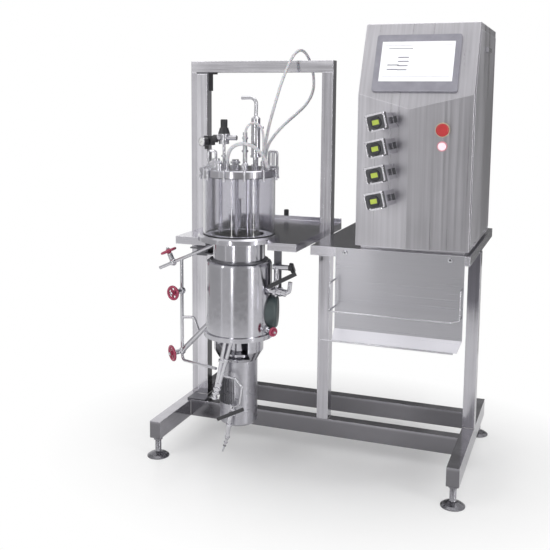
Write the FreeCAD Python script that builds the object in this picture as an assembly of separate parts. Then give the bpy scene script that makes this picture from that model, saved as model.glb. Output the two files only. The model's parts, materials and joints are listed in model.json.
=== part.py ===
"""In-situ bench bioreactor on a tubular steel stand: jacketed vessel with a glass upper wall and a
bottom drive, its valves and pipes, a control cabinet with a touch screen and four tube pumps, and a
bottle rack. Millimetres, +Z up, +X to the right, +Y to the back. The origin is on the floor, under
the middle of the whole machine."""
import FreeCAD, Part
import math
import os

V = FreeCAD.Vector
UP = V(0, 0, 1)
FRONT = V(0, -1, 0)

# ---- driving dimensions: stand -------------------------------------------------------------
TUBE = 40.0            # side of the square tube
WALL = 2.0             # wall of every steel tube
RAIL_H = 60.0          # height of the base tubes
BASE_W = 1056.0        # width over both side rails
RAIL_Z = 70.0          # underside of the rails above the floor
RAIL_FRONT = -341.0
RAIL_BACK = 307.0
FRONT_BAR_Y = -101.0   # front face of the front crossbar
REAR_BAR_Y = 139.0
PORTAL_Y = -3.0        # front face of the portal and of the right leg
PORTAL_TOP = 1368.0
FOOT_R = 38.0
FOOT_H = 16.0
FOOT_STEM_R = 10.0
FOOT_INSET = 22.0      # foot axis from the rail's end
FOOT_PLAY = 0.2        # radial play of the stem in its hole
FOOT_NUT_R = 17.0      # across the corners
FOOT_NUT_H = 9.0
FOOT_LIP = 3.0         # straight edge of the pad
CAP_T = 3.0            # plate that closes a rail's end

# ---- worktop, tray and rack ----------------------------------------------------------------
SHEET = 2.0
BODY_GAP = 0.3         # play between curved faces that lie together
WORKTOP_Z = 768.0
WORKTOP_FOLD = 30.0
WORKTOP_LEFT = 19.0
WORKTOP_RIGHT = 525.0
WORKTOP_FRONT = -259.0
WORKTOP_BACK = 357.0
TRAY_LEFT = -465.0
TRAY_RIGHT = -30.0
TRAY_BACK = 276.0
TRAY_FOLD = 26.0
TRAY_UPSTAND = 15.0
SLOT_R = 112.0         # half width of the tray's slot for the vessel
BEARER_GAP = 1.0       # side gap between a bearer and a folded edge
PLATE_T = 6.0
BUMPER_R = 9.5
BUMPER_H = 24.0        # rubber stop clipped over the tray's raised back edge
RACK_LEFT = 104.0
RACK_RIGHT = 510.0
RACK_BOTTOM = 504.0
RACK_LIP = 31.0        # the lip leans out at 45 degrees, this far out and down
LIP_CHAMFER = 12.0
WIRE_R = 2.5
GUARD_OUT = 82.0       # guard rail in front of the rack's panel
GUARD_Z = 580.0
GUARD_RISE = 88.0
RACK_BOLT_R = 5.0

# ---- cabinet -------------------------------------------------------------------------------
CAB_LEFT = 164.0
CAB_RIGHT = 518.0
CAB_FRONT = -247.0
CAB_BACK = 260.0
CAB_TOP = 1472.0
CAB_CREASE = 1253.0    # height at which the front starts to lean back
CAB_TOP_FRONT = -154.0
RIDGE_X = 328.0        # vertical ridge of the lower front
RIDGE_OUT = 19.0
PLINTH_H = 10.0
PLINTH_INSET = 14.0
DOOR_EDGE = 14.0       # side door from the cabinet's outline
DOOR_LAP = 10.0        # how far the door covers the edge of its opening
DOOR_T = 2.0
DOOR_GAP = 0.3
HINGE_R = 3.5
HINGE_PIN_R = 1.8
HINGE_L = 60.0
HINGE_INSET = 70.0     # hinge from the cabinet's front and back
LATCH_R = 6.0
CAM_T = 3.0
CAM_L = 56.0           # the cam reaches behind the edge of the opening when turned up
LATCH_L = 90.0
LATCH_Y = 8.0
LATCH_DOWN = 76.0      # latch below the cabinet's top
SCREEN_X = 336.0
SCREEN_W = 262.0
SCREEN_H = 190.0
SCREEN_UP = 6.0        # bezel's lower edge above the crease, along the slope
BEZEL_T = 7.0
GLASS_W = 226.0
GLASS_H = 134.0
GLASS_UP = 33.0        # screen glass above the bezel's lower edge
POCKET = 3.0

PUMP_X = 264.0         # where the pump axes leave the left facet
PUMP_Z = 1169.0        # top pump
PUMP_PITCH = 78.0
PUMP_COUNT = 4
PUMP_W = 62.0
PUMP_H = 50.0
PUMP_L = 96.0
PUMP_ROLL = 14.0       # degrees the pumps are turned on the panel
HEAD_T = 16.0
HEAD_CORNER = 12.0
ROTOR_R = 17.0
ROTOR_T = 9.0
ROTOR_POCKET = 6.0
ROTOR_PIN_R = 3.0
CLIP_W = 20.0

ESTOP_X = 429.0
ESTOP_Z = 1147.0
ESTOP_R = 19.5
ESTOP_RING_R = 22.0
LAMP_Z = 1098.0
LAMP_R = 12.0
LAMP_RING_R = 15.5
ESTOP_T = 12.0
LAMP_T = 6.0
BUTTON_RING_T = 6.0
BUTTON_STEM_R = 6.0
BUTTON_TRAVEL = 5.0
LAMP_TRAVEL = 3.0

# ---- vessel --------------------------------------------------------------------------------
AXIS_X = -242.0
AXIS_Y = -231.0
NECK_R = 87.0
VESSEL_WALL = 3.0
FLANGE_R = 138.0
FLANGE_T = 20.0
GLASS_R = 120.0
GLASS_WALL = 6.0
GLASS_LEN = 190.0
SEAL_T = 2.0
LID_R = 125.0
LID_T = 24.0
JACKET_R = 111.0
JACKET_TOP = 698.0
JACKET_BOTTOM = 455.0
JACKET_ROUND = 10.0
HUB_R = 30.0
BASE_FLANGE_R = 118.0
BASE_FLANGE_T = 15.0
LANTERN_R = 84.0
LANTERN_H = 82.0       # bell between the bottom flange and the motor
LANTERN_WALL = 4.0
WINDOW_W = 116.0       # windows at the bell's front and back
SEAL_NECK_R = 34.0
SEAL_NECK_H = 52.0
SEAL_CLAMP_R = 50.0
DRIVE_BORE_R = 22.0
COUPLING_R = 19.0
COUPLING_H = 46.0
MOTOR_R = 64.0
MOTOR_H = 166.0
MOTOR_CAP_H = 58.0
GRILLE_SLOTS = 9
SHAFT_R = 7.0
RUN_FIT = 0.05         # radial clearance of every running fit
SHAFT_TOP = 905.0
IMPELLER_R = 38.0
IMPELLER_Z = (540.0, 690.0, 840.0)
BAFFLE_R = 72.0
COVER_Z = 524.0        # round side cover on the jacket
COVER_R = 58.0
COVER_REACH = 134.0
BRACKET_T = 5.0
BRACKET_RING_W = 12.0
BRACKET_WEB_IN = 94.0   # from the column's left face to the bracket's upright web
COLUMN_X = -487.0      # left face of the column that steadies the vessel
COLUMN_LIFT = 6.0      # column top under the portal's top bar
CLIP_COUNT = 12
CLIP_R = 4.0

# ---- pipes, valves and hoses ---------------------------------------------------------------
PIPE_R = 6.0
STEAM_R = 9.0
WHEEL_R = 29.0
WHEEL_SMALL_R = 16.0
WHEEL_HOLES = 5
RIM_R = 4.5
STEM_R = 4.0
LEVER_L = 104.0        # bar handle of the outlet's ball valve
MANIFOLD_LEVER_L = 108.0
HOSE_R = 5.0
LOOP_HOSE_R = 4.0
THICK_HOSE_R = 6.0
STEM_OUT = 96.0        # plane of the bottom outlet pipes, in front of the vessel's axis

# ---- worked out from the above -------------------------------------------------------------
HALF_W = BASE_W / 2
RAIL_TOP = RAIL_Z + RAIL_H
SHELF_UNDER = WORKTOP_Z - WORKTOP_FOLD
FLANGE_Z = WORKTOP_Z
GLASS_Z = FLANGE_Z + FLANGE_T + SEAL_T
LID_Z = GLASS_Z + GLASS_LEN + SEAL_T
LID_TOP = LID_Z + LID_T
FLANGE_UNDER = JACKET_BOTTOM - BASE_FLANGE_T
MOTOR_TOP = FLANGE_UNDER - LANTERN_H
CAB_BASE = WORKTOP_Z + PLINTH_H
LATCH_Z = CAB_TOP - LATCH_DOWN
STEM_Y = AXIS_Y - STEM_OUT
AXIS = V(AXIS_X, AXIS_Y, 0)

nodes = {}
cords = {}


# ---- helpers -------------------------------------------------------------------------------
def box(x0, y0, z0, x1, y1, z1):
    """Box between two corners."""
    return Part.makeBox(x1 - x0, y1 - y0, z1 - z0, V(x0, y0, z0))


def rod(start, direction, radius, length):
    """Cylinder from a point along a direction."""
    return Part.makeCylinder(radius, length, start, direction)


def ring(start, direction, outer, inner, length):
    """Round tube from a point along a direction."""
    return rod(start, direction, outer, length).cut(rod(start, direction, inner, length))


def plate(corners, reach):
    """Flat outline pushed along a vector."""
    return Part.Face(Part.makePolygon(corners + corners[:1])).extrude(reach)


def hexagon(start, radius, height):
    """Upright six-sided bar from a point, radius across its corners."""
    turns = [k * math.pi / 3 for k in range(6)]
    corners = [start + V(radius * math.cos(a), radius * math.sin(a), 0) for a in turns]
    return plate(corners, UP * height)


def join(shapes):
    """One solid from overlapping or touching shapes."""
    result = shapes[0].fuse(shapes[1:]).removeSplitter()
    return result


def group(shapes):
    """Separate solids kept together in one node."""
    return Part.makeCompound([s for shape in shapes for s in shape.Solids])


def square_tube(x0, y0, z0, x1, y1, z1, along):
    """Rectangular hollow section, open at both ends of the axis it runs along."""
    outer = box(x0, y0, z0, x1, y1, z1)
    grow = {"x": (0, WALL, WALL), "y": (WALL, 0, WALL), "z": (WALL, WALL, 0)}[along]
    inner = box(x0 + grow[0], y0 + grow[1], z0 + grow[2], x1 - grow[0], y1 - grow[1], z1 - grow[2])
    return outer.cut(inner)


def turned(points, centre=AXIS):
    """Solid of revolution about a vertical axis, from (radius, height) points."""
    corners = [V(centre.x + r, centre.y, z) for r, z in points]
    face = Part.Face(Part.makePolygon(corners + corners[:1]))
    return face.revolve(centre, UP, 360)


def bend_path(points, radii):
    """Straight runs joined by tangent arcs; one radius for each inner point."""
    edges = []
    start = points[0]
    for before, corner, after, radius in zip(points, points[1:], points[2:], radii):
        come = (corner - before).normalize()
        go = (after - corner).normalize()
        half = come.getAngle(go) / 2
        back = radius * math.tan(half)
        first = corner - come * back
        last = corner + go * back
        towards = (go - come).normalize()
        middle = corner + towards * (radius / math.cos(half) - radius)
        if (first - start).Length > 1e-6:
            edges.append(Part.LineSegment(start, first).toShape())
        edges.append(Part.Arc(first, middle, last).toShape())
        start = last
    edges.append(Part.LineSegment(start, points[-1]).toShape())
    return Part.Wire(edges)


def sweep(wire, radius):
    """Round bar along a wire."""
    start = wire.Edges[0].valueAt(wire.Edges[0].FirstParameter)
    heading = wire.Edges[0].tangentAt(wire.Edges[0].FirstParameter)
    profile = Part.Wire([Part.makeCircle(radius, start, heading)])
    return wire.makePipeShell([profile], True, False)


def pipe(points, radius, bend):
    """Bent pipe with the same bend radius at every corner."""
    return sweep(bend_path(points, [bend] * (len(points) - 2)), radius)


def hose(name, points, radius):
    """Free hose: each arc is as large as its two runs allow."""
    runs = [(b - a).Length for a, b in zip(points, points[1:])]
    radii = []
    for i in range(1, len(points) - 1):
        turn = (points[i] - points[i - 1]).getAngle(points[i + 1] - points[i])
        radii.append(0.45 * min(runs[i - 1], runs[i]) / math.tan(turn / 2))
    wire = bend_path(points, radii)
    solid = sweep(wire, radius)
    share = solid.Volume / (math.pi * radius * radius * wire.Length)
    print(name, "runs", [round(r) for r in runs])
    print(name, "radii", [round(r) for r in radii], "volume share", round(share, 4))
    cords[name] = solid


def on_panel(origin, outward, roll=0.0):
    """Placement whose Z is the panel's outward normal and whose Y is up, turned by roll."""
    across = outward.cross(UP).normalize() * -1
    matrix = FreeCAD.Matrix()
    up = outward.cross(across)
    for column, axis in enumerate((across, up, outward)):
        for row, value in enumerate((axis.x, axis.y, axis.z)):
            setattr(matrix, "A%d%d" % (row + 1, column + 1), value)
    turn = FreeCAD.Placement(V(), FreeCAD.Rotation(V(0, 0, 1), roll))
    return FreeCAD.Placement(origin, FreeCAD.Placement(matrix).Rotation).multiply(turn)


def placed(shape, placement):
    """Copy of a shape moved by a placement."""
    copy = shape.copy()
    copy.transformShape(placement.toMatrix())
    return copy


# ---- stand ---------------------------------------------------------------------------------
def foot_points():
    """Axes of the four levelling feet."""
    x = HALF_W - TUBE / 2
    depths = (RAIL_FRONT + FOOT_INSET, RAIL_BACK - FOOT_INSET)
    return [V(side * x, y, 0) for side in (-1, 1) for y in depths]


def make_base():
    """Two side rails with plugged ends and a hole for each foot's stem, and the crossbars between."""
    rails = []
    for left in (-HALF_W, HALF_W - TUBE):
        tube = square_tube(left, RAIL_FRONT, RAIL_Z, left + TUBE, RAIL_BACK, RAIL_TOP, "y")
        for y in (RAIL_FRONT, RAIL_BACK - CAP_T):
            plug = box(left + WALL, y, RAIL_Z + WALL, left + TUBE - WALL, y + CAP_T, RAIL_TOP - WALL)
            tube = tube.fuse(plug)
        for foot in foot_points():
            tube = tube.cut(rod(foot + UP * (RAIL_Z - 1), UP, FOOT_STEM_R + FOOT_PLAY, WALL + 2))
        rails.append(tube.removeSplitter())
    inner = HALF_W - TUBE
    bars = []
    for y in (FRONT_BAR_Y, REAR_BAR_Y):
        bars.append(square_tube(-inner, y, RAIL_Z, inner, y + TUBE, RAIL_TOP, "x"))
    nodes["base_frame"] = group(rails + bars)


def make_feet():
    """Levelling feet: domed pad, stem and lock nut under the rail."""
    feet = []
    for foot in foot_points():
        shoulder = (FOOT_R - 8, FOOT_LIP * 3)
        collar = (FOOT_STEM_R + 5, FOOT_H)
        pad = turned([(0, 0), (FOOT_R, 0), (FOOT_R, FOOT_LIP), shoulder, collar, (0, FOOT_H)], foot)
        stem = rod(foot + UP * (FOOT_H - 1), UP, FOOT_STEM_R, RAIL_TOP - WALL - 18 - FOOT_H)
        nut = hexagon(foot + UP * (RAIL_Z - FOOT_NUT_H), FOOT_NUT_R, FOOT_NUT_H)
        feet.append(join([pad, stem, nut]))
    nodes["levelling_feet"] = group(feet)


def make_legs():
    """Middle leg on the front crossbar and right leg on the right rail, up to the bearers."""
    middle_x = WORKTOP_LEFT - TUBE / 2
    back = FRONT_BAR_Y + TUBE
    middle = square_tube(middle_x, FRONT_BAR_Y, RAIL_TOP, middle_x + TUBE, back, SHELF_UNDER, "z")
    right_x = HALF_W - TUBE
    right = square_tube(right_x, PORTAL_Y, RAIL_TOP, right_x + TUBE, PORTAL_Y + TUBE, SHELF_UNDER, "z")
    nodes["legs"] = group([middle, right])


def make_portal():
    """Two uprights under a top bar: the left one from the rail, the right one from the bearer plate."""
    bar_z = PORTAL_TOP - TUBE
    back = PORTAL_Y + TUBE
    right = TRAY_RIGHT
    nodes["left_upright"] = square_tube(-HALF_W, PORTAL_Y, RAIL_TOP, -HALF_W + TUBE, back, bar_z, "z")
    nodes["right_upright"] = square_tube(right, PORTAL_Y, SHELF_UNDER, right + TUBE, back, bar_z, "z")
    bar = square_tube(-HALF_W, PORTAL_Y, bar_z, right + TUBE, back, PORTAL_TOP, "x")
    for x in (-HALF_W, right + TUBE - CAP_T):
        plug = box(x, PORTAL_Y + WALL, bar_z + WALL, x + CAP_T, back - WALL, PORTAL_TOP - WALL)
        bar = bar.fuse(plug)
    nodes["top_bar"] = bar.removeSplitter()


def make_column():
    """Column behind the vessel, its foot plate on the front crossbar and its bracket under the top bar."""
    bar_z = PORTAL_TOP - TUBE
    front = PORTAL_Y - TUBE
    right = COLUMN_X + TUBE
    low, high = RAIL_TOP + PLATE_T, bar_z - COLUMN_LIFT
    nodes["vessel_column"] = square_tube(COLUMN_X, front, low, right, PORTAL_Y, high, "z")
    foot = box(COLUMN_X - 15, FRONT_BAR_Y, RAIL_TOP, right + 15, PORTAL_Y - BODY_GAP, RAIL_TOP + PLATE_T)
    cap = box(COLUMN_X, front, bar_z - COLUMN_LIFT, right + PLATE_T, PORTAL_Y + TUBE, bar_z)
    leg = box(right, front, bar_z - 66, right + PLATE_T, PORTAL_Y, bar_z - COLUMN_LIFT)
    return [foot, join([cap, leg])]


def make_worktop():
    """Folded worktop sheet, open underneath."""
    under = SHELF_UNDER
    sheet = box(WORKTOP_LEFT, WORKTOP_FRONT, under, WORKTOP_RIGHT, WORKTOP_BACK, WORKTOP_Z)
    room = box(WORKTOP_LEFT + SHEET, WORKTOP_FRONT + SHEET, under,
               WORKTOP_RIGHT - SHEET, WORKTOP_BACK - SHEET, WORKTOP_Z - SHEET)
    nodes["worktop"] = sheet.cut(room)


def make_tray():
    """Folded tray with a slot for the vessel, a notch for the column and a raised back edge."""
    under = WORKTOP_Z - TRAY_FOLD
    room = box(TRAY_LEFT + SHEET, WORKTOP_FRONT + SHEET, under,
               TRAY_RIGHT - SHEET, TRAY_BACK - SHEET, WORKTOP_Z - SHEET)
    tray = box(TRAY_LEFT, WORKTOP_FRONT, under, TRAY_RIGHT, TRAY_BACK, WORKTOP_Z).cut(room)
    upstand = box(TRAY_LEFT, TRAY_BACK - SHEET, WORKTOP_Z, TRAY_RIGHT, TRAY_BACK, WORKTOP_Z + TRAY_UPSTAND)
    tray = tray.fuse(upstand)
    slot = rod(V(AXIS_X, AXIS_Y, under - 1), UP, SLOT_R, TRAY_FOLD + 2)
    mouth = box(AXIS_X - SLOT_R, WORKTOP_FRONT - 1, under - 1, AXIS_X + SLOT_R, AXIS_Y, WORKTOP_Z + 1)
    column = box(COLUMN_X - BEARER_GAP, PORTAL_Y - TUBE - BEARER_GAP, under - 1,
                 COLUMN_X + TUBE + BEARER_GAP, PORTAL_Y + BEARER_GAP, WORKTOP_Z + 1)
    bearer = box(TRAY_LEFT - 1, PORTAL_Y - BEARER_GAP, under - 1,
                 TRAY_LEFT + SHEET + 1, PORTAL_Y + TUBE + BEARER_GAP, WORKTOP_Z - SHEET)
    for cutter in (slot, mouth, column, bearer):
        tray = tray.cut(cutter)
    nodes["tray"] = tray.removeSplitter()
    foot = V(-254, TRAY_BACK - SHEET / 2, WORKTOP_Z + TRAY_UPSTAND + BUMPER_H - 16)
    bumper = rod(foot - UP * 8, UP, BUMPER_R, BUMPER_H)
    bumper = bumper.makeFillet(4, [e for e in bumper.Edges if e.BoundBox.ZMin > foot.z + BUMPER_H - 9])
    nodes["tray_bumper"] = bumper.cut(upstand)


def make_bearers():
    """Bearers hidden in the folds, and the plate that carries the right upright."""
    under, top = SHELF_UNDER, WORKTOP_Z - SHEET
    left = WORKTOP_LEFT + SHEET + BEARER_GAP
    right = WORKTOP_RIGHT - SHEET - BEARER_GAP
    back = PORTAL_Y + TUBE
    front_bearer = square_tube(left, FRONT_BAR_Y, under, right, FRONT_BAR_Y + TUBE, top, "x")
    rear_bearer = square_tube(left, PORTAL_Y, under, right, back, top, "x")
    tray_right = TRAY_RIGHT - SHEET - BEARER_GAP
    tray_bearer = square_tube(-HALF_W + TUBE, PORTAL_Y, under, tray_right, back, top, "x")
    plate = box(TRAY_RIGHT - 45, PORTAL_Y, under - PLATE_T, WORKTOP_LEFT + 45, back, under)
    nodes["bearers"] = group([front_bearer, rear_bearer, tray_bearer, plate])


def make_rack():
    """Bottle rack: panel bolted to the worktop's front with a sloping lip, and its wire guard."""
    back = WORKTOP_FRONT
    front = back - SHEET
    low = RACK_BOTTOM - RACK_LIP
    panel = box(RACK_LEFT, front, RACK_BOTTOM, RACK_RIGHT, back, WORKTOP_Z)
    section = [(back, RACK_BOTTOM), (front, RACK_BOTTOM), (front - RACK_LIP, low), (back - RACK_LIP, low)]
    lip = plate([V(RACK_LEFT, y, z) for y, z in section], V(RACK_RIGHT - RACK_LEFT, 0, 0))
    past = 5.0
    foot = back - RACK_LIP - past
    inward = RACK_RIGHT - LIP_CHAMFER
    cut = [V(RACK_RIGHT, back, RACK_BOTTOM), V(RACK_RIGHT, foot, low - past), V(inward, foot, low - past)]
    wedge = plate(cut, V(0, -past, past)).fuse(plate(cut, V(0, past, -past)))
    bolts = []
    for x in (RACK_LEFT + 31, RACK_RIGHT - 44):
        bolts.append(rod(V(x, front, WORKTOP_Z - 14), FRONT, RACK_BOLT_R, 4))
    nodes["rack_panel"] = group([join([panel, lip]).cut(wedge)] + bolts)
    out = front - GUARD_OUT
    left, right = RACK_LEFT + 4, RACK_RIGHT - 4
    corner_in = 34.0
    plan = [(left, front), (left, out), (right - 22, out), (right, out + corner_in), (right, front)]
    guard = [pipe([V(x, y, GUARD_Z) for x, y in plan], WIRE_R, 10)]
    top = GUARD_Z + GUARD_RISE
    for x, knee in ((left, out + 6), (right, out + corner_in)):
        guard.append(pipe([V(x, front, top), V(x, knee, top), V(x, knee, GUARD_Z)], WIRE_R, 12))
    start = V(RACK_LEFT - 38, back - RACK_LIP - WIRE_R, low - WIRE_R)
    rest = rod(start, V(1, 0, 0), WIRE_R, RACK_RIGHT - RACK_LEFT + 16)
    nodes["rack_wires"] = group([join(guard), rest])


# ---- cabinet -------------------------------------------------------------------------------
def cabinet_block(inset):
    """Outline of the cabinet, with its ridged front and leaning upper face, moved in by inset."""
    left, right = CAB_LEFT + inset, CAB_RIGHT - inset
    front, back = CAB_FRONT + inset, CAB_BACK - inset
    low, high = CAB_BASE + inset, CAB_TOP - inset
    plan = [(left, front), (RIDGE_X, front - RIDGE_OUT), (right, front), (right, back), (left, back)]
    block = plate([V(x, y, low) for x, y in plan], V(0, 0, high - low))
    lean = V(0, CAB_TOP_FRONT - CAB_FRONT, CAB_TOP - CAB_CREASE)
    square = V(0, lean.z, -lean.y).normalize()
    foot = V(left - 1, CAB_FRONT, CAB_CREASE) + square * inset
    below, above = foot - lean * 0.5, foot + lean * 1.5
    away = square * lean.Length
    return block.cut(plate([below, above, above - away, below - away], V(right - left + 2, 0, 0)))


def door_outline(inset, x):
    """Side door outline on a plane of constant x."""
    lean = (CAB_TOP_FRONT - CAB_FRONT) / (CAB_TOP - CAB_CREASE)
    top = CAB_TOP - inset - 8
    low = CAB_BASE + inset
    front = CAB_FRONT + inset
    back = CAB_BACK - inset
    knee = CAB_CREASE - inset * 0.3
    top_front = front + (top - knee) * lean
    return [V(x, front, low), V(x, back, low), V(x, back, top), V(x, top_front, top), V(x, front, knee)]


def make_cabinet():
    """Cabinet shell with its plinth, side opening and hinge leaves, the side door and its latch."""
    shell = cabinet_block(0).cut(cabinet_block(WALL))
    inset = PLINTH_INSET
    outer = box(CAB_LEFT + inset, CAB_FRONT + inset, WORKTOP_Z, CAB_RIGHT - inset, CAB_BACK - inset, CAB_BASE)
    inset += 2 * WALL
    hollow = box(CAB_LEFT + inset, CAB_FRONT + inset, WORKTOP_Z,
                 CAB_RIGHT - inset, CAB_BACK - inset, CAB_BASE)
    opening = plate(door_outline(DOOR_EDGE + DOOR_LAP, CAB_RIGHT - WALL - 1), V(WALL + 2, 0, 0))
    shell = shell.fuse(outer.cut(hollow)).cut(opening)
    for button_z in (ESTOP_Z, LAMP_Z):
        at, outward = right_facet(ESTOP_X, button_z)
        shell = shell.cut(rod(at - outward * 8, outward, BUTTON_STEM_R + 1.5, 16))
    face_x = CAB_RIGHT + DOOR_GAP
    door = plate(door_outline(DOOR_EDGE, face_x), V(DOOR_T, 0, 0))
    back = V(0, 1, 0)
    axis_x = face_x + HINGE_R
    axis_z = CAB_BASE + DOOR_EDGE - HINGE_R
    for y in (CAB_FRONT + HINGE_INSET, CAB_BACK - HINGE_INSET - HINGE_L):
        start = V(axis_x, y, axis_z)
        tab = box(face_x, y, axis_z, face_x + DOOR_T, y + HINGE_L / 2 - 0.5, axis_z + HINGE_R)
        knuckle = join([rod(start, back, HINGE_R, HINGE_L / 2 - 0.5), tab])
        door = door.fuse(knuckle.cut(rod(start, back, HINGE_PIN_R + RUN_FIT, HINGE_L)))
        middle = start + back * (HINGE_L / 2)
        leaf_low = axis_z - HINGE_R
        leaf = box(CAB_RIGHT, middle.y, leaf_low, axis_x, y + HINGE_L, leaf_low + DOOR_T)
        pin = rod(start, back, HINGE_PIN_R, HINGE_L)
        shell = shell.fuse([leaf, rod(middle, back, HINGE_R, HINGE_L / 2), pin])
    nodes["cabinet_shell"] = shell.removeSplitter()
    out = V(1, 0, 0)
    cam_x = CAB_RIGHT - WALL - 0.5 - CAM_T
    boss = V(cam_x, LATCH_Y, LATCH_Z)
    nodes["side_door"] = door.cut(rod(boss, out, LATCH_R + RUN_FIT, 20)).removeSplitter()
    stem = rod(boss, out, LATCH_R, face_x + DOOR_T + 4 - cam_x)
    bar_x = face_x + DOOR_T + 0.4
    bar = box(bar_x, LATCH_Y - LATCH_L / 2, LATCH_Z - 7, bar_x + 9, LATCH_Y + LATCH_L / 2, LATCH_Z + 7)
    cam = box(cam_x, LATCH_Y - 8, LATCH_Z - 8, cam_x + CAM_T, LATCH_Y + CAM_L, LATCH_Z + 8)
    nodes["door_latch"] = join([stem, bar, cam])


def make_screen():
    """Touch screen: bezel on the leaning face and its glass in a pocket."""
    lean = V(0, CAB_TOP_FRONT - CAB_FRONT, CAB_TOP - CAB_CREASE).normalize()
    out = V(0, -lean.z, lean.y)
    corner = V(SCREEN_X - SCREEN_W / 2, CAB_FRONT, CAB_CREASE) + lean * SCREEN_UP
    pose = FreeCAD.Placement(corner, FreeCAD.Rotation(V(1, 0, 0), lean, out, "XYZ"))
    bezel = Part.makeBox(SCREEN_W, SCREEN_H, BEZEL_T)
    bezel = bezel.makeFillet(8, [e for e in bezel.Edges if abs(e.Length - BEZEL_T) < 1e-6])
    glass_at = V((SCREEN_W - GLASS_W) / 2, GLASS_UP, BEZEL_T - POCKET)
    bezel = bezel.cut(Part.makeBox(GLASS_W, GLASS_H, POCKET, glass_at))
    nodes["screen_bezel"] = placed(bezel, pose)
    nodes["screen_glass"] = placed(Part.makeBox(GLASS_W, GLASS_H, POCKET - 1, glass_at), pose)


def left_facet(x, z):
    """Point and outward normal on the cabinet's front, left of the ridge."""
    run = V(RIDGE_X - CAB_LEFT, -RIDGE_OUT, 0).normalize()
    y = CAB_FRONT - RIDGE_OUT * (x - CAB_LEFT) / (RIDGE_X - CAB_LEFT)
    return V(x, y, z), V(run.y, -run.x, 0)


def right_facet(x, z):
    """Point and outward normal on the cabinet's front, right of the ridge."""
    run = V(CAB_RIGHT - RIDGE_X, RIDGE_OUT, 0).normalize()
    y = CAB_FRONT - RIDGE_OUT * (CAB_RIGHT - x) / (CAB_RIGHT - RIDGE_X)
    return V(x, y, z), V(run.y, -run.x, 0)


def make_pumps():
    """Four tube pumps: body on the panel, head plate with a rotor pocket, side clip and rotor."""
    bodies, heads, clips = [], [], []
    for i in range(PUMP_COUNT):
        at, outward = left_facet(PUMP_X, PUMP_Z - i * PUMP_PITCH)
        pose = on_panel(at, outward, PUMP_ROLL)
        body = Part.makeBox(PUMP_W - 6, PUMP_H - 4, PUMP_L, V(3 - PUMP_W / 2, 2 - PUMP_H / 2, 0))
        bodies.append(placed(body, pose))
        w, h, corner = PUMP_W / 2, PUMP_H / 2, HEAD_CORNER
        outline = [(-w, h), (-w, corner - h), (corner - w, -h), (w, -h), (w, h)]
        head = plate([V(x, y, PUMP_L) for x, y in outline], V(0, 0, HEAD_T))
        face = PUMP_L + HEAD_T
        head = head.cut(rod(V(0, 0, face - ROTOR_POCKET), UP, ROTOR_R + 1, ROTOR_POCKET))
        head = head.cut(rod(V(0, 0, PUMP_L), UP, ROTOR_PIN_R + RUN_FIT, HEAD_T))
        heads.append(placed(head, pose))
        clip = Part.makeBox(4, CLIP_W, CLIP_W - 2, V(PUMP_W / 2 - 3, -CLIP_W / 2, 18))
        clip = clip.cut(Part.makeBox(4, 4, CLIP_W, V(PUMP_W / 2 - 1, -2, 17)))
        clips.append(placed(clip, pose))
        seat = face - ROTOR_POCKET + 0.3
        disc = rod(V(0, 0, seat), UP, ROTOR_R, ROTOR_T)
        disc = disc.makeFillet(2, [e for e in disc.Edges if e.BoundBox.ZMin > seat + ROTOR_T - 0.1])
        pin = rod(V(0, 0, PUMP_L + 1), UP, ROTOR_PIN_R, HEAD_T - ROTOR_POCKET)
        nodes["rotor_%d" % (i + 1)] = placed(join([disc, pin]), pose)
    nodes["pump_bodies"] = group(bodies + clips)
    nodes["pump_heads"] = group(heads)


def make_buttons():
    """Stop button and lit button, each in a ring on the right facet."""
    rings = []
    stop = ("stop_button", ESTOP_Z, ESTOP_R, ESTOP_RING_R, BUTTON_TRAVEL, ESTOP_T)
    lamp = ("lit_button", LAMP_Z, LAMP_R, LAMP_RING_R, LAMP_TRAVEL, LAMP_T)
    for name, z, head_r, ring_r, travel, head_t in (stop, lamp):
        at, outward = right_facet(ESTOP_X, z)
        pose = on_panel(at, outward)
        bezel = ring(V(0, 0, 0), UP, ring_r, BUTTON_STEM_R + RUN_FIT, BUTTON_RING_T)
        rings.append(placed(bezel, pose))
        seat = BUTTON_RING_T + travel + 1
        head = rod(V(0, 0, seat), UP, head_r, head_t)
        top_edge = [e for e in head.Edges if e.BoundBox.ZMin > seat + head_t - 0.1]
        head = head.makeFillet(head_t * 0.45, top_edge)
        stem = rod(V(0, 0, -6), UP, BUTTON_STEM_R, seat + 7)
        nodes[name] = placed(join([head, stem]), pose)
    nodes["button_rings"] = group(rings)


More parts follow.
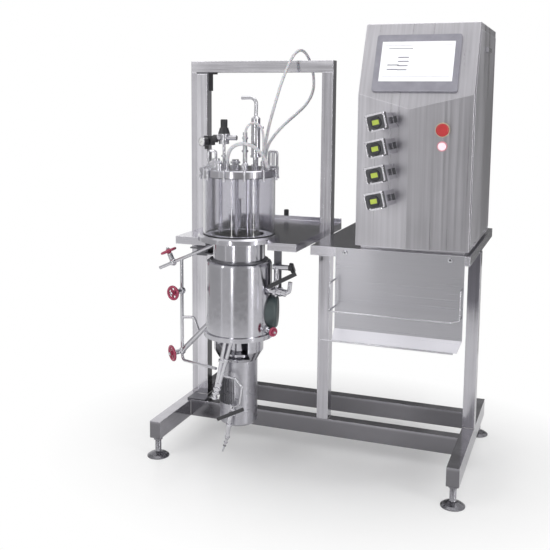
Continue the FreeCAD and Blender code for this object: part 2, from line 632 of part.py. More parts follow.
# ---- vessel --------------------------------------------------------------------------------
def make_vessel():
    """Inner vessel, jacket, mid flange, glass wall with its seals and the lid."""
    floor = JACKET_BOTTOM + SHEET
    inner = NECK_R - VESSEL_WALL
    fit = SHAFT_R + RUN_FIT
    outside = [(fit, floor), (HUB_R, floor), (HUB_R, floor + 8), (NECK_R - 20, floor + 12),
               (NECK_R, floor + 34), (NECK_R, FLANGE_Z)]
    inside = [(inner, FLANGE_Z), (inner, floor + 36), (NECK_R - 22, floor + 16), (HUB_R, floor + 12),
              (HUB_R - 8, floor + 22), (fit, floor + 22)]
    nodes["inner_vessel"] = turned(outside + inside)
    gap = NECK_R + BODY_GAP
    edge = JACKET_R - JACKET_ROUND
    skin = JACKET_R - SHEET
    outside = [(HUB_R - 8, JACKET_BOTTOM), (JACKET_R, JACKET_BOTTOM), (JACKET_R, JACKET_TOP - JACKET_ROUND),
               (JACKET_R - JACKET_ROUND * 0.3, JACKET_TOP - JACKET_ROUND * 0.3), (edge, JACKET_TOP),
               (gap, JACKET_TOP)]
    inside = [(gap, JACKET_TOP - SHEET), (edge, JACKET_TOP - SHEET), (skin, JACKET_TOP - JACKET_ROUND - 1),
              (skin, floor), (HUB_R - 8, floor)]
    nodes["jacket"] = turned(outside + inside)
    top = FLANGE_Z + FLANGE_T
    flange = turned([(inner, FLANGE_Z), (FLANGE_R, FLANGE_Z), (FLANGE_R, top - 6), (FLANGE_R - 6, top),
                     (inner, top)])
    nodes["mid_flange"] = flange
    nodes["glass_wall"] = ring(AXIS + UP * GLASS_Z, UP, GLASS_R, GLASS_R - GLASS_WALL, GLASS_LEN)
    seals = []
    for z in (top, LID_Z - SEAL_T):
        seals.append(ring(AXIS + UP * z, UP, GLASS_R + 1, GLASS_R - GLASS_WALL - 1, SEAL_T))
    nodes["glass_seals"] = group(seals)
    lid = turned([(0, LID_Z), (LID_R, LID_Z), (LID_R, LID_TOP - 3), (LID_R - 3, LID_TOP), (0, LID_TOP)])
    nodes["lid"] = lid


def make_drive():
    """Lantern under the jacket, motor with its cap and grille, shaft with coupling, and impellers."""
    bore = DRIVE_BORE_R
    under = FLANGE_UNDER
    clamp_top = under - SEAL_NECK_H
    base = turned([(bore, JACKET_BOTTOM), (BASE_FLANGE_R, JACKET_BOTTOM), (BASE_FLANGE_R, under),
                   (SEAL_NECK_R, under), (SEAL_NECK_R, clamp_top), (bore, clamp_top)])
    clamp = turned([(bore, clamp_top), (SEAL_CLAMP_R - 8, clamp_top), (SEAL_CLAMP_R, clamp_top - 8),
                    (SEAL_CLAMP_R, MOTOR_TOP + 8), (SEAL_CLAMP_R - 8, MOTOR_TOP), (bore, MOTOR_TOP)])
    outer, wall = LANTERN_R, LANTERN_WALL
    bell = turned([(outer, under), (outer, MOTOR_TOP + 34), (MOTOR_R, MOTOR_TOP), (MOTOR_R - 10, MOTOR_TOP),
                   (outer - wall, MOTOR_TOP + 36), (outer - wall, under)])
    half = WINDOW_W / 2
    window = box(AXIS_X - half, AXIS_Y - outer - 1, MOTOR_TOP + 10,
                 AXIS_X + half, AXIS_Y + outer + 1, under - 6)
    nodes["lantern"] = group([base, clamp, bell.cut(window)])
    cap_top = MOTOR_TOP - MOTOR_H
    can = rod(V(AXIS_X, AXIS_Y, cap_top), UP, MOTOR_R, MOTOR_H)
    for i in range(GRILLE_SLOTS):
        slot = box(MOTOR_R - 2, -1.5, cap_top + 18, MOTOR_R + 2, 1.5, cap_top + 98)
        slot.rotate(V(), UP, -118 + i * 7.5)
        slot.translate(AXIS)
        can = can.cut(slot)
    cap_low = cap_top - MOTOR_CAP_H
    cap = turned([(0, cap_top), (MOTOR_R + 1, cap_top), (MOTOR_R + 1, cap_top - 8), (MOTOR_R, cap_top - 10),
                  (MOTOR_R, cap_low + 8), (MOTOR_R - 8, cap_low), (0, cap_low)])
    nodes["motor"] = group([can, cap])
    start = V(AXIS_X, AXIS_Y, MOTOR_TOP + 0.4)
    shaft = join([rod(start, UP, SHAFT_R, SHAFT_TOP - start.z), rod(start, UP, COUPLING_R, COUPLING_H)])
    nodes["agitator_shaft"] = shaft
    wheels = []
    for z in IMPELLER_Z:
        hub = ring(V(AXIS_X, AXIS_Y, z - 10), UP, 13, SHAFT_R + 0.02, 20)
        disc = ring(V(AXIS_X, AXIS_Y, z - 1.5), UP, 26, 12, 3)
        blades = []
        for k in range(6):
            blade = box(18, -1, z - 10, IMPELLER_R, 1, z + 10)
            blade.rotate(V(), UP, k * 60)
            blade.translate(AXIS)
            blades.append(blade)
        wheels.append(join([hub, disc] + blades))
    nodes["impellers"] = group(wheels)


def make_internals():
    """Baffles and dip pipes that hang from the lid."""
    pieces = []
    low = JACKET_BOTTOM + 60
    for k in range(4):
        strip = box(BAFFLE_R - 12, -1.5, low, BAFFLE_R, 1.5, LID_Z)
        strip.rotate(V(), UP, 45 + k * 90)
        strip.translate(AXIS)
        pieces.append(strip)
    for angle, radius, depth in ((200, 5.0, 500), (285, 6.0, 380), (330, 4.0, 540), (20, 5.0, 420)):
        a = math.radians(angle)
        foot = V(AXIS_X + 62 * math.cos(a), AXIS_Y + 62 * math.sin(a), LID_Z - depth)
        foot.z = max(foot.z, low)
        pieces.append(rod(foot, UP, radius, LID_Z - foot.z))
    nodes["dip_pipes"] = group(pieces)


# ---- lid fittings --------------------------------------------------------------------------
# name: offset from the axis in x and y, radius, height, radius of its clamp (0 for none)
PORTS = {
    "clear": (-88, -28, 7.0, 24.0, 0),
    "filter": (-58, -60, 13.0, 34.0, 0),
    "feed": (-16.4, -62.2, 6.0, 28.0, 9.0),
    "loop_in": (37.3, -37.4, 5.0, 28.0, 9.0),
    "inoculation": (-34, -88, 9.0, 30.0, 13.0),
    "acid": (110.3, -27.3, 6.0, 8.0, 0),
    "loop_out": (91, -15.1, 5.0, 29.0, 9.0),
    "sample": (52, -86, 7.0, 22.0, 12.0),
    "probe": (12, 20, 7.5, 118.0, 11.0),
    "vent": (80, 16, 6.0, 38.0, 10.0),
    "vent_back": (75.8, 43, 6.0, 34.0, 0),
    "spare": (-40, 60, 12.0, 24.0, 17.0),
    "regulator": (-58, 6, 5.0, 79.0, 9.0),
}
CONDENSER = (58.0, 0.0)
CONDENSER_R = 15.0
CONDENSER_H = 166.0


def port_top(name):
    """Top centre of a port on the lid."""
    x, y, _, height, _ = PORTS[name]
    return V(AXIS_X + x, AXIS_Y + y, LID_TOP + height)


def make_lid_fittings():
    """Ports with their clamps, rim clips and the two lifting handles."""
    stubs = []
    for x, y, radius, height, clamp in PORTS.values():
        foot = V(AXIS_X + x, AXIS_Y + y, LID_TOP)
        stub = rod(foot, UP, radius, height)
        if clamp:
            stub = join([stub, rod(foot, UP, clamp, 5), rod(foot + UP * (height * 0.45), UP, clamp, 6)])
        stubs.append(stub)
    nodes["lid_ports"] = group(stubs)
    clips = []
    for k in range(CLIP_COUNT):
        angle = math.radians(-90 + k * 360 / CLIP_COUNT)
        out = V(math.cos(angle), math.sin(angle), 0)
        root = AXIS + out * (LID_R + CLIP_R + 0.3)
        inner = AXIS + out * (LID_R - 7)
        shank = rod(root + UP * (LID_Z - 6), UP, CLIP_R, LID_T + 10)
        head = rod(inner + UP * LID_TOP, UP, CLIP_R + 1, 4)
        bridge = rod(inner + UP * (LID_TOP + 2), out, 1.8, 7 + CLIP_R)
        nut = rod(root + UP * (LID_Z - 10), UP, CLIP_R + 1.5, 5)
        clips.append(join([shank, head, bridge, nut]))
    nodes["rim_clips"] = group(clips)
    left = AXIS + V(-94, 20, LID_TOP)
    span = V(-25, -6, 0)
    loop = pipe([left, left + UP * 54, left + UP * 54 + span, left + span], 4.5, 9)
    right = AXIS + V(90, 42, LID_TOP)
    span = V(25, 8, 0)
    grip = pipe([right, right + UP * 57, right + UP * 57 + span, right + span], 4.5, 9)
    ribs = [rod(right + span * share + UP * 6, UP, 2.5, 50) for share in (0.38, 0.62)]
    foot = rod(right + UP * 6, span, 3, span.Length)
    nodes["lid_handles"] = group([loop, join([grip, foot] + ribs)])


def make_condenser():
    """Exhaust condenser on the lid: ferrule, body with a water stub, and the bent outlet pipe."""
    foot = V(AXIS_X + CONDENSER[0], AXIS_Y + CONDENSER[1], LID_TOP)
    top = CONDENSER_H
    body = join([
        rod(foot, UP, 12, 6),
        rod(foot + UP * 6, UP, 9, 32),
        rod(foot + UP * 38, UP, CONDENSER_R + 2, 6),
        rod(foot + UP * 44, UP, CONDENSER_R, top - 44),
        Part.makeCone(CONDENSER_R, 7.5, 6, foot + UP * top, UP),
        rod(foot + UP * (top - 30), V(1, 0, 0), 4, 27),
    ])
    start = foot + UP * (top + 6)
    elbow = start + V(2, 0, 62)
    tip = start + V(-50, 0, 60)
    bent = pipe([start, elbow, tip], PIPE_R, 22)
    inward = (elbow - tip).normalize()
    bent = bent.cut(rod(tip - inward, inward, PIPE_R - 1.5, 12))
    nodes["condenser"] = join([body, bent])


def make_regulator():
    """Air regulator on its port: body with outlet pipe, knob, and the gauge on its elbow."""
    base = port_top("regulator")
    arm = base + UP * 21
    left, right = V(-1, 0, 0), V(1, 0, 0)
    body = join([
        rod(base, UP, 17, 14),
        rod(base, UP, 12, 30),
        rod(arm, right, 8.5, 46),
        rod(arm, left, 8.5, 24),
        rod(base + UP * 29, UP, 20, 5),
    ])
    spindle = 4.0
    nodes["regulator_body"] = body.cut(rod(base + UP * 24, UP, spindle + RUN_FIT, 20))
    low = base + UP * 34.4
    skirt = Part.makeCone(20, 14, 20, low, UP)
    grip = rod(low + UP * 20, UP, 11, 27)
    nodes["regulator_knob"] = join([skirt, grip, rod(base + UP * 26, UP, spindle, 12)])
    elbow = arm + V(-24, 0, -4)
    nut = rod(elbow, left, 13, 14)
    block = box(elbow.x - 46, elbow.y - 8, elbow.z - 22, elbow.x - 12, elbow.y + 8, elbow.z + 9)
    dial = rod(elbow + V(-38, -6, -10), V(-0.45, -0.89, 0), 16, 20)
    stem = rod(elbow + V(-40, 0, -36), UP, 7, 20)
    nodes["gauge"] = join([nut, block, dial, stem])


# ---- brackets ------------------------------------------------------------------------------
def make_brackets(plates):
    """Steadying bracket from the column to a ring round the neck, and the bar that carries the manifold."""
    low = JACKET_TOP
    hoop = rod(AXIS + UP * low, UP, NECK_R + BRACKET_RING_W, BRACKET_T)
    column_front = PORTAL_Y - TUBE
    arm = box(COLUMN_X, AXIS_Y + 40, low, AXIS_X - 30, column_front, low + BRACKET_T)
    web_x = COLUMN_X + BRACKET_WEB_IN
    corner = box(COLUMN_X - 1, AXIS_Y + 39, low - 1, web_x, AXIS_Y + 128, low + BRACKET_T + 1)
    lug = box(COLUMN_X, column_front - PLATE_T, low - 34, COLUMN_X + TUBE, column_front, low + 40)
    web = box(web_x, AXIS_Y + 60, low, web_x + 8, column_front, low + 36)
    neck = rod(AXIS + UP * (low - 1), UP, NECK_R + BODY_GAP, BRACKET_T + 60)
    bracket = join([hoop, arm, lug, web]).cut(corner).cut(neck)
    hanger_x = AXIS_X + SLOT_R + 4
    hanger_y = AXIS_Y + 26
    hanger = box(hanger_x, hanger_y, MANIFOLD_Z - 50, hanger_x + 26, hanger_y + BRACKET_T, WORKTOP_Z - SHEET)
    nodes["column_brackets"] = group(plates + [bracket, hanger])


# ---- pipes and valves ----------------------------------------------------------------------
MANIFOLD_Z = 640.0
UPPER_END = V(-542, AXIS_Y, 646)
UPPER_ROOT = V(AXIS_X - NECK_R + 4, AXIS_Y, 746)
RISER_X = -457.0
RISER_LOW = 357.0
STEAM_ROOT = V(AXIS_X - JACKET_R + 6, AXIS_Y, 474)
VALVES = {
    "handwheel_1": (V(-490, AXIS_Y, 670.2), V(-0.423, 0, 0.906), 42.0, WHEEL_R),
    "handwheel_2": (V(RISER_X, AXIS_Y, 572), V(-0.25, -0.97, 0), 46.0, WHEEL_R - 3),
    "handwheel_3": (V(RISER_X, AXIS_Y, RISER_LOW), V(-0.62, -0.76, -0.1), 38.0, WHEEL_R),
    "handwheel_4": (V(-130, AXIS_Y - 22, 473), V(0.8, -0.6, 0), 36.0, WHEEL_SMALL_R),
}


def valve(name):
    """Valve body with its bonnet; its hand wheel turns on a stem in the bonnet's bore."""
    centre, out, reach, radius = VALVES[name]
    out = V(out).normalize()
    wheel_at = centre + out * reach
    bonnet = join([Part.makeSphere(13, centre), rod(centre, out, 9, reach - 10)])
    bonnet = bonnet.cut(rod(wheel_at - out * 24, out, STEM_R + RUN_FIT, 30))
    hub = rod(wheel_at - out * 9, out, 8, 16)
    stem = rod(wheel_at - out * 23, out, STEM_R, 18)
    rim = Part.makeTorus(radius - RIM_R, RIM_R, wheel_at, out)
    web = rod(wheel_at - out * 2, out, radius - RIM_R, 4)
    pose = FreeCAD.Placement(wheel_at, FreeCAD.Rotation(UP, out))
    holes = WHEEL_HOLES if radius > WHEEL_SMALL_R else 0
    for k in range(holes):
        angle = math.radians(k * 360 / holes)
        middle = (radius + 6) / 2 - 1
        start = pose.multVec(V(middle * math.cos(angle), middle * math.sin(angle), -5))
        web = web.cut(rod(start, out, (radius - 14) * 0.42, 10))
    nodes[name] = join([hub, stem, web, rim])
    return bonnet


def make_left_pipes():
    """Pipes on the vessel's left: sloping upper pipe, riser, steam pipe, branch and drain run."""
    bodies = {name: valve(name) for name in VALVES}
    upper = rod(UPPER_END, UPPER_ROOT - UPPER_END, PIPE_R, (UPPER_ROOT - UPPER_END).Length)
    upper = upper.cut(rod(UPPER_END, UPPER_ROOT - UPPER_END, PIPE_R - 1.5, 16))
    slope = (UPPER_ROOT.z - UPPER_END.z) / (UPPER_ROOT.x - UPPER_END.x)
    riser_top = UPPER_END.z + slope * (RISER_X - UPPER_END.x)
    riser = rod(V(RISER_X, AXIS_Y, RISER_LOW), UP, PIPE_R, riser_top - RISER_LOW)
    steam_foot = V(RISER_X, AXIS_Y, RISER_LOW)
    steam = rod(steam_foot, STEAM_ROOT - steam_foot, STEAM_R, (STEAM_ROOT - steam_foot).Length)
    bends = [V(RISER_X, AXIS_Y, 478), V(RISER_X + 46, AXIS_Y, 482), V(RISER_X + 66, AXIS_Y, 430)]
    branch = pipe(bends, PIPE_R - 1, 16)
    knee = V(RISER_X + 4, AXIS_Y - 6, RISER_LOW - 31)
    drain = pipe([V(RISER_X, AXIS_Y, RISER_LOW), knee, V(-284, STEM_Y, 342)], PIPE_R - 1, 16)
    small_valve = bodies.pop("handwheel_4")
    tree = join([upper, riser, steam, branch, drain] + list(bodies.values()))
    neck = rod(AXIS + UP * FLANGE_Z, UP * -1, NECK_R, FLANGE_Z - JACKET_TOP)
    body = rod(AXIS + UP * JACKET_BOTTOM, UP, JACKET_R, JACKET_TOP - JACKET_BOTTOM)
    base = rod(AXIS + UP * FLANGE_UNDER, UP, BASE_FLANGE_R, BASE_FLANGE_T)
    for solid in (neck, body, base):
        tree = tree.cut(solid)
    nodes["left_pipes"] = tree
    return small_valve


def outlet_point(x, drop):
    """Point in the plane of the bottom pipes, from the vessel's axis and its bottom flange."""
    return V(AXIS_X + x, STEM_Y, FLANGE_UNDER - drop)


def make_bottom_pipes():
    """Sample pipes in front of the drive, the outlet pipe, its ball valve and the nozzle."""
    first, second = outlet_point(-8, 0), outlet_point(13, 0)
    first_run, second_run = V(-40, 0, -204), V(-52, 0, -184)
    pieces = [rod(first, first_run, 7, first_run.Length), rod(second, second_run, 7, second_run.Length)]
    for share, radius in ((0.32, 11), (0.8, 10), (0.88, 11), (0.96, 10)):
        for root, run in ((first, first_run), (second, second_run)):
            pieces.append(rod(root + run * share, run, radius, 7))
    pieces.append(rod(first + first_run * 0.34, V(1, 0, 0.1), 7, 24))
    bends = [(-16, 119), (30, 124), (52, 150), (44, 214), (20, 224)]
    feed = pipe([outlet_point(x, drop) for x, drop in bends], 4, 10)
    spindle = outlet_point(20, 240)
    body = join([
        Part.makeSphere(14, outlet_point(19, 240)),
        rod(outlet_point(19, 216), V(-14, 0, -62), 8, 66),
        rod(spindle, FRONT, 8, 17),
    ])
    nozzle = join([
        rod(outlet_point(8, 268), V(-9, 0, -64), 7, 66),
        rod(outlet_point(6, 282), V(-9, 0, -64), 10, 10),
        Part.makeCone(6, 2.5, 58, outlet_point(0, 328), V(-19, 0, -60)),
    ])
    nozzle = nozzle.cut(rod(outlet_point(-23, 400), V(19, 0, 60), 1.5, 40))
    pipes = join(pieces + [feed, body, nozzle])
    pipes = pipes.cut(rod(spindle + FRONT * 30, FRONT * -1, STEM_R + RUN_FIT, 26))
    nodes["bottom_pipes"] = pipes.cut(rod(AXIS + UP * FLANGE_UNDER, UP, BASE_FLANGE_R, 40))
    pivot = spindle + FRONT * 19
    bar = box(-LEVER_L / 2, -4, -6, LEVER_L / 2, 4, 6)
    bar = bar.makeFillet(3, [e for e in bar.Edges if abs(e.Length - LEVER_L) < 1e-6])
    bar.rotate(V(), V(0, 1, 0), -27)
    bar.translate(pivot + FRONT * 4)
    nodes["ball_valve_lever"] = join([bar, rod(pivot - FRONT * 12, FRONT, STEM_R, 14)])


def make_manifold(small_valve):
    """Manifold at the right: pipes and clamps, black lever, wing knob, side cover and the small valve."""
    y = AXIS_Y - 4
    edge = AXIS_X + JACKET_R
    z = MANIFOLD_Z
    wing_y = y + 8
    wing_z = z + 42
    spine = rod(V(edge - 6, y, z - 36), V(1, 0, -0.1), 12, 66)
    cluster = [spine]
    for x, radius, length in ((edge + 18, 18, 8), (edge + 36, 16, 8)):
        cluster.append(rod(V(x, y, z - 39), V(1, 0, -0.1), radius, length))
    cluster.append(pipe([V(edge + 48, y, z - 42), V(edge + 70, y, z - 40), V(edge + 74, y, z - 4)], 7, 12))
    cluster.append(rod(V(edge + 26, y, z - 38), UP, 8, 60))
    cluster.append(rod(V(edge + 10, wing_y, wing_z), V(1, 0, 0), 9, 56))
    cluster.append(rod(V(edge + 20, AXIS_Y + 26, wing_z), FRONT, 6, AXIS_Y + 26 - wing_y))
    cluster.append(rod(V(edge + 26, y, z - 10), V(0, -1, 0), 10, 16))
    cluster.append(rod(V(edge + 26, y, z + 12), UP, 6, wing_z - z - 12))
    manifold = join(cluster)
    manifold = manifold.cut(rod(V(edge + 26, y - 30, z - 10), V(0, 1, 0), STEM_R + RUN_FIT, 30))
    manifold = manifold.cut(rod(V(edge + 50, wing_y, wing_z), V(1, 0, 0), STEM_R + RUN_FIT, 30))
    body = rod(AXIS + UP * JACKET_BOTTOM, UP, JACKET_R, JACKET_TOP - JACKET_BOTTOM)
    nodes["manifold"] = group([manifold.cut(body), small_valve.cut(body)])
    pivot = V(edge + 26, y - 17, z - 10)
    lever = box(-24, -4, -7, MANIFOLD_LEVER_L - 24, 4, 7)
    lever = lever.makeFillet(3, [e for e in lever.Edges if abs(e.Length - MANIFOLD_LEVER_L) < 1e-6])
    lever.rotate(V(), V(0, 1, 0), -28.6)
    lever.translate(pivot + V(0, -4, 0))
    nodes["manifold_lever"] = join([lever, rod(pivot + V(0, 12, 0), FRONT, STEM_R, 14)])
    wing = V(edge + 66.5, wing_y, wing_z)
    arms = box(0, -5, -21, 14, 5, 21)
    arms = arms.makeFillet(4, [e for e in arms.Edges if abs(e.Length - 10) < 1e-6])
    arms.rotate(V(), V(1, 0, 0), 40)
    arms.translate(wing + V(4, 0, 0))
    hub = rod(wing, V(1, 0, 0), 10, 12)
    nodes["wing_knob"] = join([arms, hub, rod(wing - V(9, 0, 0), V(1, 0, 0), STEM_R, 10)])
    out = V(0.966, 0.259, 0)
    cover = rod(AXIS + UP * COVER_Z, out, COVER_R, COVER_REACH)
    rim = [e for e in cover.Edges if e.CenterOfMass.x > AXIS_X + 100 and e.Curve.TypeId == "Part::GeomCircle"]
    cover = cover.makeFillet(15, rim)
    nodes["side_cover"] = cover.cut(body)


# ---- hoses ---------------------------------------------------------------------------------
def make_hoses():
    """Silicone hoses: the vent hose hangs over the top bar, two short ones arch over the lid."""
    over = [
        port_top("vent"),
        V(-157, -206, 1102),
        V(-150, -187, 1164),
        V(-143, -156, 1225),
        V(-140, -115, 1285),
        V(-137, -62, 1340),
        V(-126, -22, 1392),
        V(-112, 28, 1410),
        V(-96, 66, 1372),
        V(-80, 62, 1315),
        V(-72, 34, 1262),
        V(-82, -8, 1218),
        V(-102, -62, 1184),
        V(-126, -118, 1150),
        V(-148, -160, 1112),
        V(-163, -184, 1076),
        port_top("vent_back"),
    ]
    hose("vent_hose", over, HOSE_R)
    arch = [
        port_top("loop_in"),
        V(-207.5, -269.4, 1085),
        V(-205.6, -268.7, 1137),
        V(-189.7, -262.8, 1157),
        V(-167.6, -253.6, 1156),
        V(-152.6, -248, 1137),
        V(-149.1, -245.6, 1086),
        port_top("loop_out"),
    ]
    hose("loop_hose", arch, LOOP_HOSE_R)
    bridge = [
        port_top("feed"),
        V(-256.2, -293.3, 1060),
        V(-237.4, -292.2, 1084),
        V(-205.3, -286.8, 1093),
        V(-173.4, -278.1, 1084),
        V(-149.3, -268.1, 1060),
        V(-135, -260.7, 1036),
        port_top("acid"),
    ]
    hose("feed_hose", bridge, THICK_HOSE_R)


def main():
    """Build every node, move the origin to the floor's middle and write the STEP files."""
    make_base()
    make_feet()
    make_legs()
    make_portal()
    plates = make_column()
    make_worktop()
    make_tray()
    make_bearers()
    make_rack()
    make_cabinet()
    make_screen()
    make_pumps()
    make_buttons()
    make_vessel()
    make_drive()
    make_internals()
    make_lid_fittings()
    make_condenser()
    make_regulator()
    make_brackets(plates)
    small_valve = make_left_pipes()
    make_bottom_pipes()
    make_manifold(small_valve)
    make_hoses()
    front = min(nodes["rotor_%d" % (i + 1)].optimalBoundingBox().YMin for i in range(PUMP_COUNT))
    to_middle = V(0, -(front + WORKTOP_BACK) / 2, 0)
    print("moved by", round(to_middle.y, 3))
    os.makedirs("parts", exist_ok=True)
    for name, shape in list(nodes.items()) + list(cords.items()):
        moved = shape.copy()
        moved.translate(to_middle)
        if not moved.isValid():
            print("invalid", name)
        moved.exportStep("parts/%s.step" % name)
    print(len(nodes) + len(cords), "nodes")


main()
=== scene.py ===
"""Looks of the bench bioreactor: camera, hoses, finishes and studio, and the small parts that are
too fine for the construction model, such as weld beads, threads, screws and the gauge's dial.
Metres, +Z up, +X to the right, +Y to the back."""
import json
import math

import bmesh
import bpy
from mathutils import Matrix, Vector, noise


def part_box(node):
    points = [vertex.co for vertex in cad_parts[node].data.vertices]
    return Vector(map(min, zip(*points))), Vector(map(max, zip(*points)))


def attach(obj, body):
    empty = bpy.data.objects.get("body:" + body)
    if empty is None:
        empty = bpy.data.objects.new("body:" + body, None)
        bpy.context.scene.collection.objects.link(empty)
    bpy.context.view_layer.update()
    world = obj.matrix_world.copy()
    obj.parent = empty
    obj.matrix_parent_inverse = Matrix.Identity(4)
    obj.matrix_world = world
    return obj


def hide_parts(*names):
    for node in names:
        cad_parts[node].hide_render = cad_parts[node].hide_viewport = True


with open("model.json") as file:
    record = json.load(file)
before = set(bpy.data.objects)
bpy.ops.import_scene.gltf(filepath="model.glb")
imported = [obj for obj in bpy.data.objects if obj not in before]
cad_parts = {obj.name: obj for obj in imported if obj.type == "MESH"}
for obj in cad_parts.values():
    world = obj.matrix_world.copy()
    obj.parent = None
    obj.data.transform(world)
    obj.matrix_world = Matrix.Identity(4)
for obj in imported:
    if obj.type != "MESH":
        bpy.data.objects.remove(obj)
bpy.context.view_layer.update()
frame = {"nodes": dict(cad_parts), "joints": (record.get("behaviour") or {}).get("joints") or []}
MM = 0.001
UP = Vector((0, 0, 1))
FRONT = Vector((0, -1, 0))
JOINTS = {joint["name"]: joint for joint in frame["joints"]}


def plan_centre(name):
    """Middle of a construction piece's box, seen from above."""
    low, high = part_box(name)
    return Vector(((low.x + high.x) / 2, (low.y + high.y) / 2, 0))


AXIS = plan_centre("lid")          # the vessel's axis
PART_AXIS_Y = -0.231               # where that axis stands in the part's own frame
SHIFT_Y = AXIS.y - PART_AXIS_Y     # added to the part's own y, it gives the loaded frame's


def from_part(x, y, z):
    """A point given in the part's own millimetres, in the loaded frame."""
    return Vector((x * MM, y * MM + SHIFT_Y, z * MM))


# ---- node materials --------------------------------------------------------------------------
NOISE_ROUGHNESS = 0.55
EDGE_TURN = 0.03                   # turn of the softened normal at which an edge's painted highlight shows in full
WHITE = (1, 1, 1, 1)


class Nodes:
    """Adds nodes to one node tree."""

    def __init__(self, tree):
        self.tree = tree

    def add(self, kind, **values):
        """New node. Each value goes to the socket of that name, or else to the node's setting."""
        node = self.tree.nodes.new("ShaderNode" + kind)
        for key, value in values.items():
            if key in node.inputs:
                node.inputs[key].default_value = value
            else:
                setattr(node, key, value)
        return node

    def link(self, source, target):
        self.tree.links.new(source, target)

    def result(self, operation, first, second):
        """Two values joined by a Math operation."""
        node = self.add("Math", operation=operation)
        self.link(first, node.inputs[0])
        self.link(second, node.inputs[1])
        return node.outputs[0]

    def part_of(self, source, axis):
        """One component of a vector."""
        split = self.add("SeparateXYZ")
        self.link(source, split.inputs[0])
        return split.outputs[axis]

    def ramp(self, source, low, high, start=0.3, end=0.7):
        """The source's range from start to end, spread from low to high."""
        spread = self.add("MapRange")
        spread.inputs["From Min"].default_value = start
        spread.inputs["From Max"].default_value = end
        spread.inputs["To Min"].default_value = low
        spread.inputs["To Max"].default_value = high
        self.link(source, spread.inputs["Value"])
        return spread.outputs["Result"]

    def mixed(self, factor, first, second):
        """Colour from the first, which is a colour or an output, to the second colour."""
        blend = self.add("Mix", data_type="RGBA")
        self.link(factor, blend.inputs["Factor"])
        if isinstance(first, tuple):
            blend.inputs["A"].default_value = (*first, 1)
        else:
            self.link(first, blend.inputs["A"])
        blend.inputs["B"].default_value = (*second, 1)
        return blend.outputs["Result"]


class Finish(Nodes):
    """Builds one node material around its Principled shader."""

    def __init__(self, name):
        self.material = bpy.data.materials.new(name)
        self.material.use_nodes = True
        super().__init__(self.material.node_tree)
        self.shader = self.tree.nodes["Principled BSDF"]
        self.coords = self.add("TexCoord")

    def set(self, **values):
        """Sets constant values on the shader's own sockets."""
        for key, value in values.items():
            self.shader.inputs[key.replace("_", " ")].default_value = value

    def noise(self, stretch, detail=3.0):
        """Noise over the object's own place: its fineness, one number or one for each axis."""
        mapping = self.add("Mapping")
        if not isinstance(stretch, tuple):
            stretch = (stretch,) * 3
        mapping.inputs["Scale"].default_value = stretch
        self.link(self.coords.outputs["Object"], mapping.inputs["Vector"])
        grain = self.add("TexNoise", Scale=1.0, Detail=detail, Roughness=NOISE_ROUGHNESS)
        self.link(mapping.outputs["Vector"], grain.inputs["Vector"])
        return grain.outputs["Fac"]

    def height(self):
        """Height in the object's own place."""
        return self.part_of(self.coords.outputs["Object"], "Z")

    def looks(self, axis):
        """How far a face looks along an axis, from -1 to 1."""
        face = self.add("NewGeometry")
        return self.part_of(face.outputs["Normal"], axis)

    def edges(self, radius):
        """Mask of the painted edge highlight: 1 along edges and creases, 0 on flat faces."""
        soft = self.add("Bevel", samples=6, Radius=radius)
        face = self.add("NewGeometry")
        turn = self.add("VectorMath", operation="DOT_PRODUCT")
        self.link(soft.outputs["Normal"], turn.inputs[0])
        self.link(face.outputs["Normal"], turn.inputs[1])
        return self.ramp(turn.outputs["Value"], 1.0, 0.0, 1.0 - EDGE_TURN, 1.0)

    def color(self, source):
        self.link(source, self.shader.inputs["Base Color"])

    def roughness(self, source):
        self.link(source, self.shader.inputs["Roughness"])

    def bump(self, source, strength, distance, edge=0.0):
        """Surface relief from the source, over edges softened by the edge radius."""
        relief = self.add("Bump", Strength=strength, Distance=distance)
        self.link(source, relief.inputs["Height"])
        if edge:
            soft = self.add("Bevel", samples=4, Radius=edge)
            self.link(soft.outputs["Normal"], relief.inputs["Normal"])
        self.link(relief.outputs["Normal"], self.shader.inputs["Normal"])

    def glow(self, color):
        """Light given off in this colour, which is a colour or an output."""
        light = self.add("Emission", Strength=1.0)
        if isinstance(color, tuple):
            light.inputs["Color"].default_value = color
        else:
            self.link(color, light.inputs["Color"])
        return light.outputs[0]

    def surface(self, source):
        """Makes a shader's output the material's surface."""
        self.link(source, self.tree.nodes["Material Output"].inputs["Surface"])


def scaled(color, share):
    return tuple(min(1.0, c * share) for c in color)


def painted_shade_low_fronts(nodes):
    """Painted shade: 1 on front faces near the floor, where the colour is darkened."""
    front = nodes.ramp(nodes.looks("Y"), 1.0, 0.0, -0.95, -0.8)
    low = nodes.ramp(nodes.height(), 1.0, 0.0, 0.12, 0.14)
    return nodes.result("MULTIPLY", front, low)


def painted_shade_low_right(nodes):
    """Painted shade: 1 on faces that look right, in the lower third of the stand, where the colour
    is darkened.
    """
    right = nodes.ramp(nodes.looks("X"), 0.0, 1.0, 0.8, 0.95)
    low = nodes.ramp(nodes.height(), 1.0, 0.0, 0.34, 0.40)
    return nodes.result("MULTIPLY", right, low)


def painted_light_top_faces(nodes):
    """Painted light: 1 on faces that look up, where the colour is lightened."""
    return nodes.ramp(nodes.looks("Z"), 0.0, 1.0, 0.3, 0.7)


